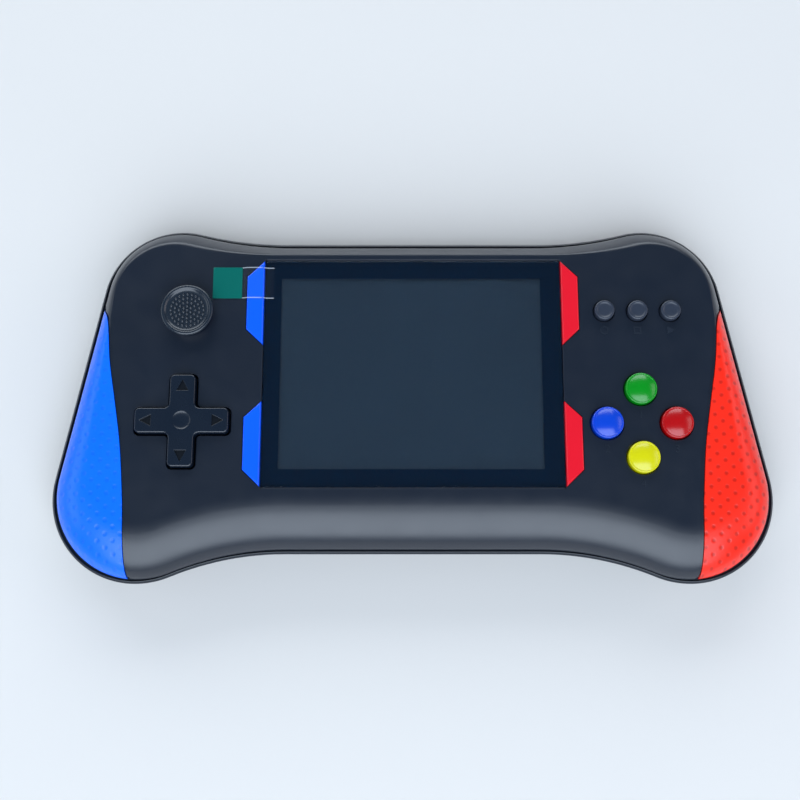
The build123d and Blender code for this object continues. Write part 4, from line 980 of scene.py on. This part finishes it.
# The liner over the cover's seat, the wall round the bay, the screw posts and the speaker's seat
liner = stacked("liner", basin_rows(liner_outer))
carve(liner, basin_inside(liner_inner))
carve(liner, slab(under_back, liner_high, cover_area(liner_grow)), "INTERSECT")
carve(rear, liner, "UNION")
carve(rear, slab(bay_low, bay_high, rectangle(*shrunk(bay_box, -bay_wall))), "UNION")
post_room = basin_inside(post_inset)
for x, y in screw_places:
    post = turned("post", x, y, ((post_low, post_radius), (post_high, post_radius)), 40)
    carve(post, twin(post_room), "INTERSECT")
    carve(rear, post, "UNION")
bpy.data.objects.remove(post_room)
seat = slab(seat_low, seat_high, square_around(speaker_x, speaker_y, seat_half))
carve(seat, basin_inside(seat_inset), "INTERSECT")
carve(rear, seat, "UNION")

# The room inside the seat, the bay, the cover's seat and the grooves of its tongues
carve(rear, slab(rear_wall, 6.0, square_around(speaker_x, speaker_y, seat_half - seat_wall)))
carve(rear, slab(under_back, cell_room, rectangle(*bay_box)))
pocket = slab(under_back, 10.0, cover_area(cover_gap))
carve(pocket, basin_inside(rear_wall))
carve(rear, pocket)
carve(rear, slab(groove_low, groove_high, rectangle(*groove_box)))
for x, y in screw_places:
    carve(rear, turned("hole", x, y, ((under_back, head_hole), (head_deep, head_hole)), 40))
    carve(rear, turned("hole", x, y, ((4, screw_hole), (screw_deep, screw_hole)), 24))
for n in range(5):
    x = speaker_x + (n - 2) * slot_gap
    slot = (x - slot_half, speaker_y - slot_reach, x + slot_half, speaker_y + slot_reach)
    flat = rounded_rectangle(*slot, slot_corner)
    wide = rounded_rectangle(*shrunk(slot, -slot_flare), slot_corner + slot_flare)
    carve(rear, stacked("slot", [
        (under_back, wide), (0.0, wide), (slot_flare, flat), (slot_deep, flat),
    ]))


def sideways(tool):
    """Lays an upright tool along Y: what was its height becomes its place along Y."""
    for vertex in tool.data.vertices:
        x, y, z = vertex.co
        vertex.co = (x, z, y)
    pick(tool)
    faces_outwards()
    return tool


# The mouths of the jack and the other fittings, and the room that each needs behind its mouth
carve(rear, sideways(slab(40.0, beyond_edge, round_points(jack_x, jack_z, jack_mouth, 48))))
for x, half_x, z, half_z, corner, y in edge_mouths:
    mouth = rounded_rectangle(x - half_x, z - half_z, x + half_x, z + half_z, corner)
    carve(rear, sideways(slab(y, beyond_edge, mouth)))
for x, half, low, front_y in fitting_rooms:
    carve(rear, slab(low, rim_foot, rectangle(x - half, 33.0, x + half, front_y)))
softened(rear, angle=30)
rear_finish = finish_for("black_back", (0.0045, 0.0078, 0.015), 0.34, grain=0.4, grain_size=0.35)
put_on(rear, rear_finish, "root", "rear_plastic", "rear_shell")

# ---------------------------------------------------------------- battery and its cover
# The cover slides off towards the player's side on two tongues; it has four thumb ribs and an
# arrow. Under it the wrapped cell lies against a block of three sprung contacts.
cell_box, cell_corner = (-26.5, -18, 26.5, 16), 0.8
cell_rows = [(2.3, 0.35), (2.42, 0.12), (2.65, 0.0), (7.75, 0.0), (7.98, 0.12), (8.1, 0.35)]
gold_end, blue_wrap = 21.0, (0.015, 0.13, 0.42)
cover_outer, cover_inner = 0.3, 2.0
tongue_box, tongue_low, tongue_high = (-33.0, -35.3, 33.0, 18.0), 0.8, 1.6
first_rib, rib_gap = 10.5, 1.8
rib_steps = ((0.0, 8, 0.45, 0.42), (0.32, 8, 0.45, 0.42), (0.65, 7.9, 0.3, 0.28))
cover_arrow, arrow_deep = [(-2.6, 1.6), (2.6, 1.6), (0, -1.6)], 0.6

cover = stacked("sliding_cover", basin_rows(cover_outer))
carve(cover, slab(under_back, cell_room, cover_area(0)), "INTERSECT")
carve(cover, basin_inside(cover_inner))
carve(cover, slab(tongue_low, tongue_high, rectangle(*tongue_box)), "UNION")
for n in range(4):
    y = first_rib - rib_gap * n
    carve(cover, stacked("rib", [
        (z, rounded_rectangle(-half_x, y - half_y, half_x, y + half_y, corner))
        for z, half_x, half_y, corner in rib_steps
    ]))
carve(cover, slab(0.0, arrow_deep, cover_arrow))
softened(cover, angle=30)
put_on(cover, rear_finish, "battery_cover", "rear_plastic", "battery_cover")

cell = stacked("wrapped_cell", [
    (z, rounded_rectangle(*shrunk(cell_box, d), cell_corner)) for z, d in cell_rows
])
softened(cell, angle=35)
wrap = finish_for("blue_wrap", blue_wrap, 0.3, coat=0.3)
wrap_nodes, wrap_links = wrap.node_tree.nodes, wrap.node_tree.links
spot = wrap_nodes.new("ShaderNodeTexCoord")
apart = wrap_nodes.new("ShaderNodeSeparateXYZ")
band = wrap_nodes.new("ShaderNodeMath")
band.operation = "GREATER_THAN"
band.inputs[1].default_value = gold_end * mm
tone = wrap_nodes.new("ShaderNodeMix")
tone.data_type = "RGBA"
tone.inputs["A"].default_value = blue_wrap + (1,)
tone.inputs["B"].default_value = (0.55, 0.42, 0.10, 1)
wrap_links.new(spot.outputs["Object"], apart.inputs["Vector"])
wrap_links.new(apart.outputs["X"], band.inputs[0])
wrap_links.new(band.outputs["Value"], tone.inputs["Factor"])
wrap_links.new(tone.outputs["Result"], wrap_nodes["Principled BSDF"].inputs["Base Color"])
put_on(cell, wrap, "root", "cell_wrap", "battery")
gold = finish_for("contact_gold", (0.80, 0.56, 0.22), 0.3, patchy=0.04, metal=1.0)
dressed(gold, "battery_contacts")

# ---------------------------------------------------------------- casing screws
# Six pan-head screws of blackened steel, sunk in the back, each with a cross recess. They run up
# into the front shell and hold the two halves together.
head_rows = [
    (3.2, 1.7), (3.28, 2.05), (3.5, 2.3), (3.75, 2.4), (5.0, 2.4), (5.02, 1.25), (17.7, 1.25),
]
heads = []
for x, y in screw_places:
    head = turned("head", x, y, head_rows, 36)
    for long_x, long_y in ((1.25, 0.28), (0.28, 1.25)):
        foot_x, foot_y = long_x * 0.7, long_y * 0.8
        carve(head, stacked("slot", [
            (3.0, rectangle(x - long_x, y - long_y, x + long_x, y + long_y)),
            (4.1, rectangle(x - foot_x, y - foot_y, x + foot_x, y + foot_y)),
        ]))
    heads.append(head)
screws = joined(heads[0], heads[1:])
screws.name = "casing_screws"
softened(screws, angle=35)
black_steel = finish_for("blackened_steel", (0.16, 0.16, 0.17), 0.32, patchy=0.08, metal=1.0)
put_on(screws, black_steel, "root", "steel", "shell_screws")

# ---------------------------------------------------------------- speaker
# A small speaker that lies in its seat behind the slots, a frame with a dark paper cone. Its
# shape is kept as it is, in the dull grey-black of pressed paper.
cone = finish_for("speaker_paper", (0.03, 0.03, 0.032), 0.7, grain=0.5, grain_size=0.5)
dressed(cone, "speaker")

# ---------------------------------------------------------------- fittings on the top edge
# From left to right as the player sees them: the ribbed power switch, the charging socket with its
# folded steel shell, the round sound and picture jack, and the toothed volume wheel.
nose_y, nose_length, jack_bore = 44.71, 3.4, 1.9
jack_body = (4.8, 32.31, 11.2, 42.5)
ring_rows = [
    (0.0, 2.6), (3.0, 2.6), (3.25, 2.55), (3.38, 2.42), (3.4, 2.2), (3.3, 2.0), (3.1, 1.85),
    (2.9, 1.8), (-8.0, 1.8),
]
jack_rows = [(nose_y - nose_length + z, r) for z, r in ring_rows]
jack = sideways(turned("jack", jack_x, jack_z, jack_rows, 60))
body = slab(5.3, 10.5, rectangle(*jack_body))
carve(body, sideways(slab(33.0, 43.0, round_points(jack_x, jack_z, jack_bore, 48))))
softened(body, 0.15)
joined(jack, [body])
softened(jack)
jack_finish = finish_for("jack_black", (0.02, 0.021, 0.023), 0.35)
put_on(jack, jack_finish, "root", "contact_block", "av_jack")
dressed(bright_steel, "charging_socket")
dressed(dark_nylon, "power_switch_body", "volume_wheel_base")
soft_grey = finish_for("knob_grey", (0.05, 0.055, 0.065), 0.45, grain=0.2)
dressed(soft_grey, "power_switch_knob", "volume_wheel")
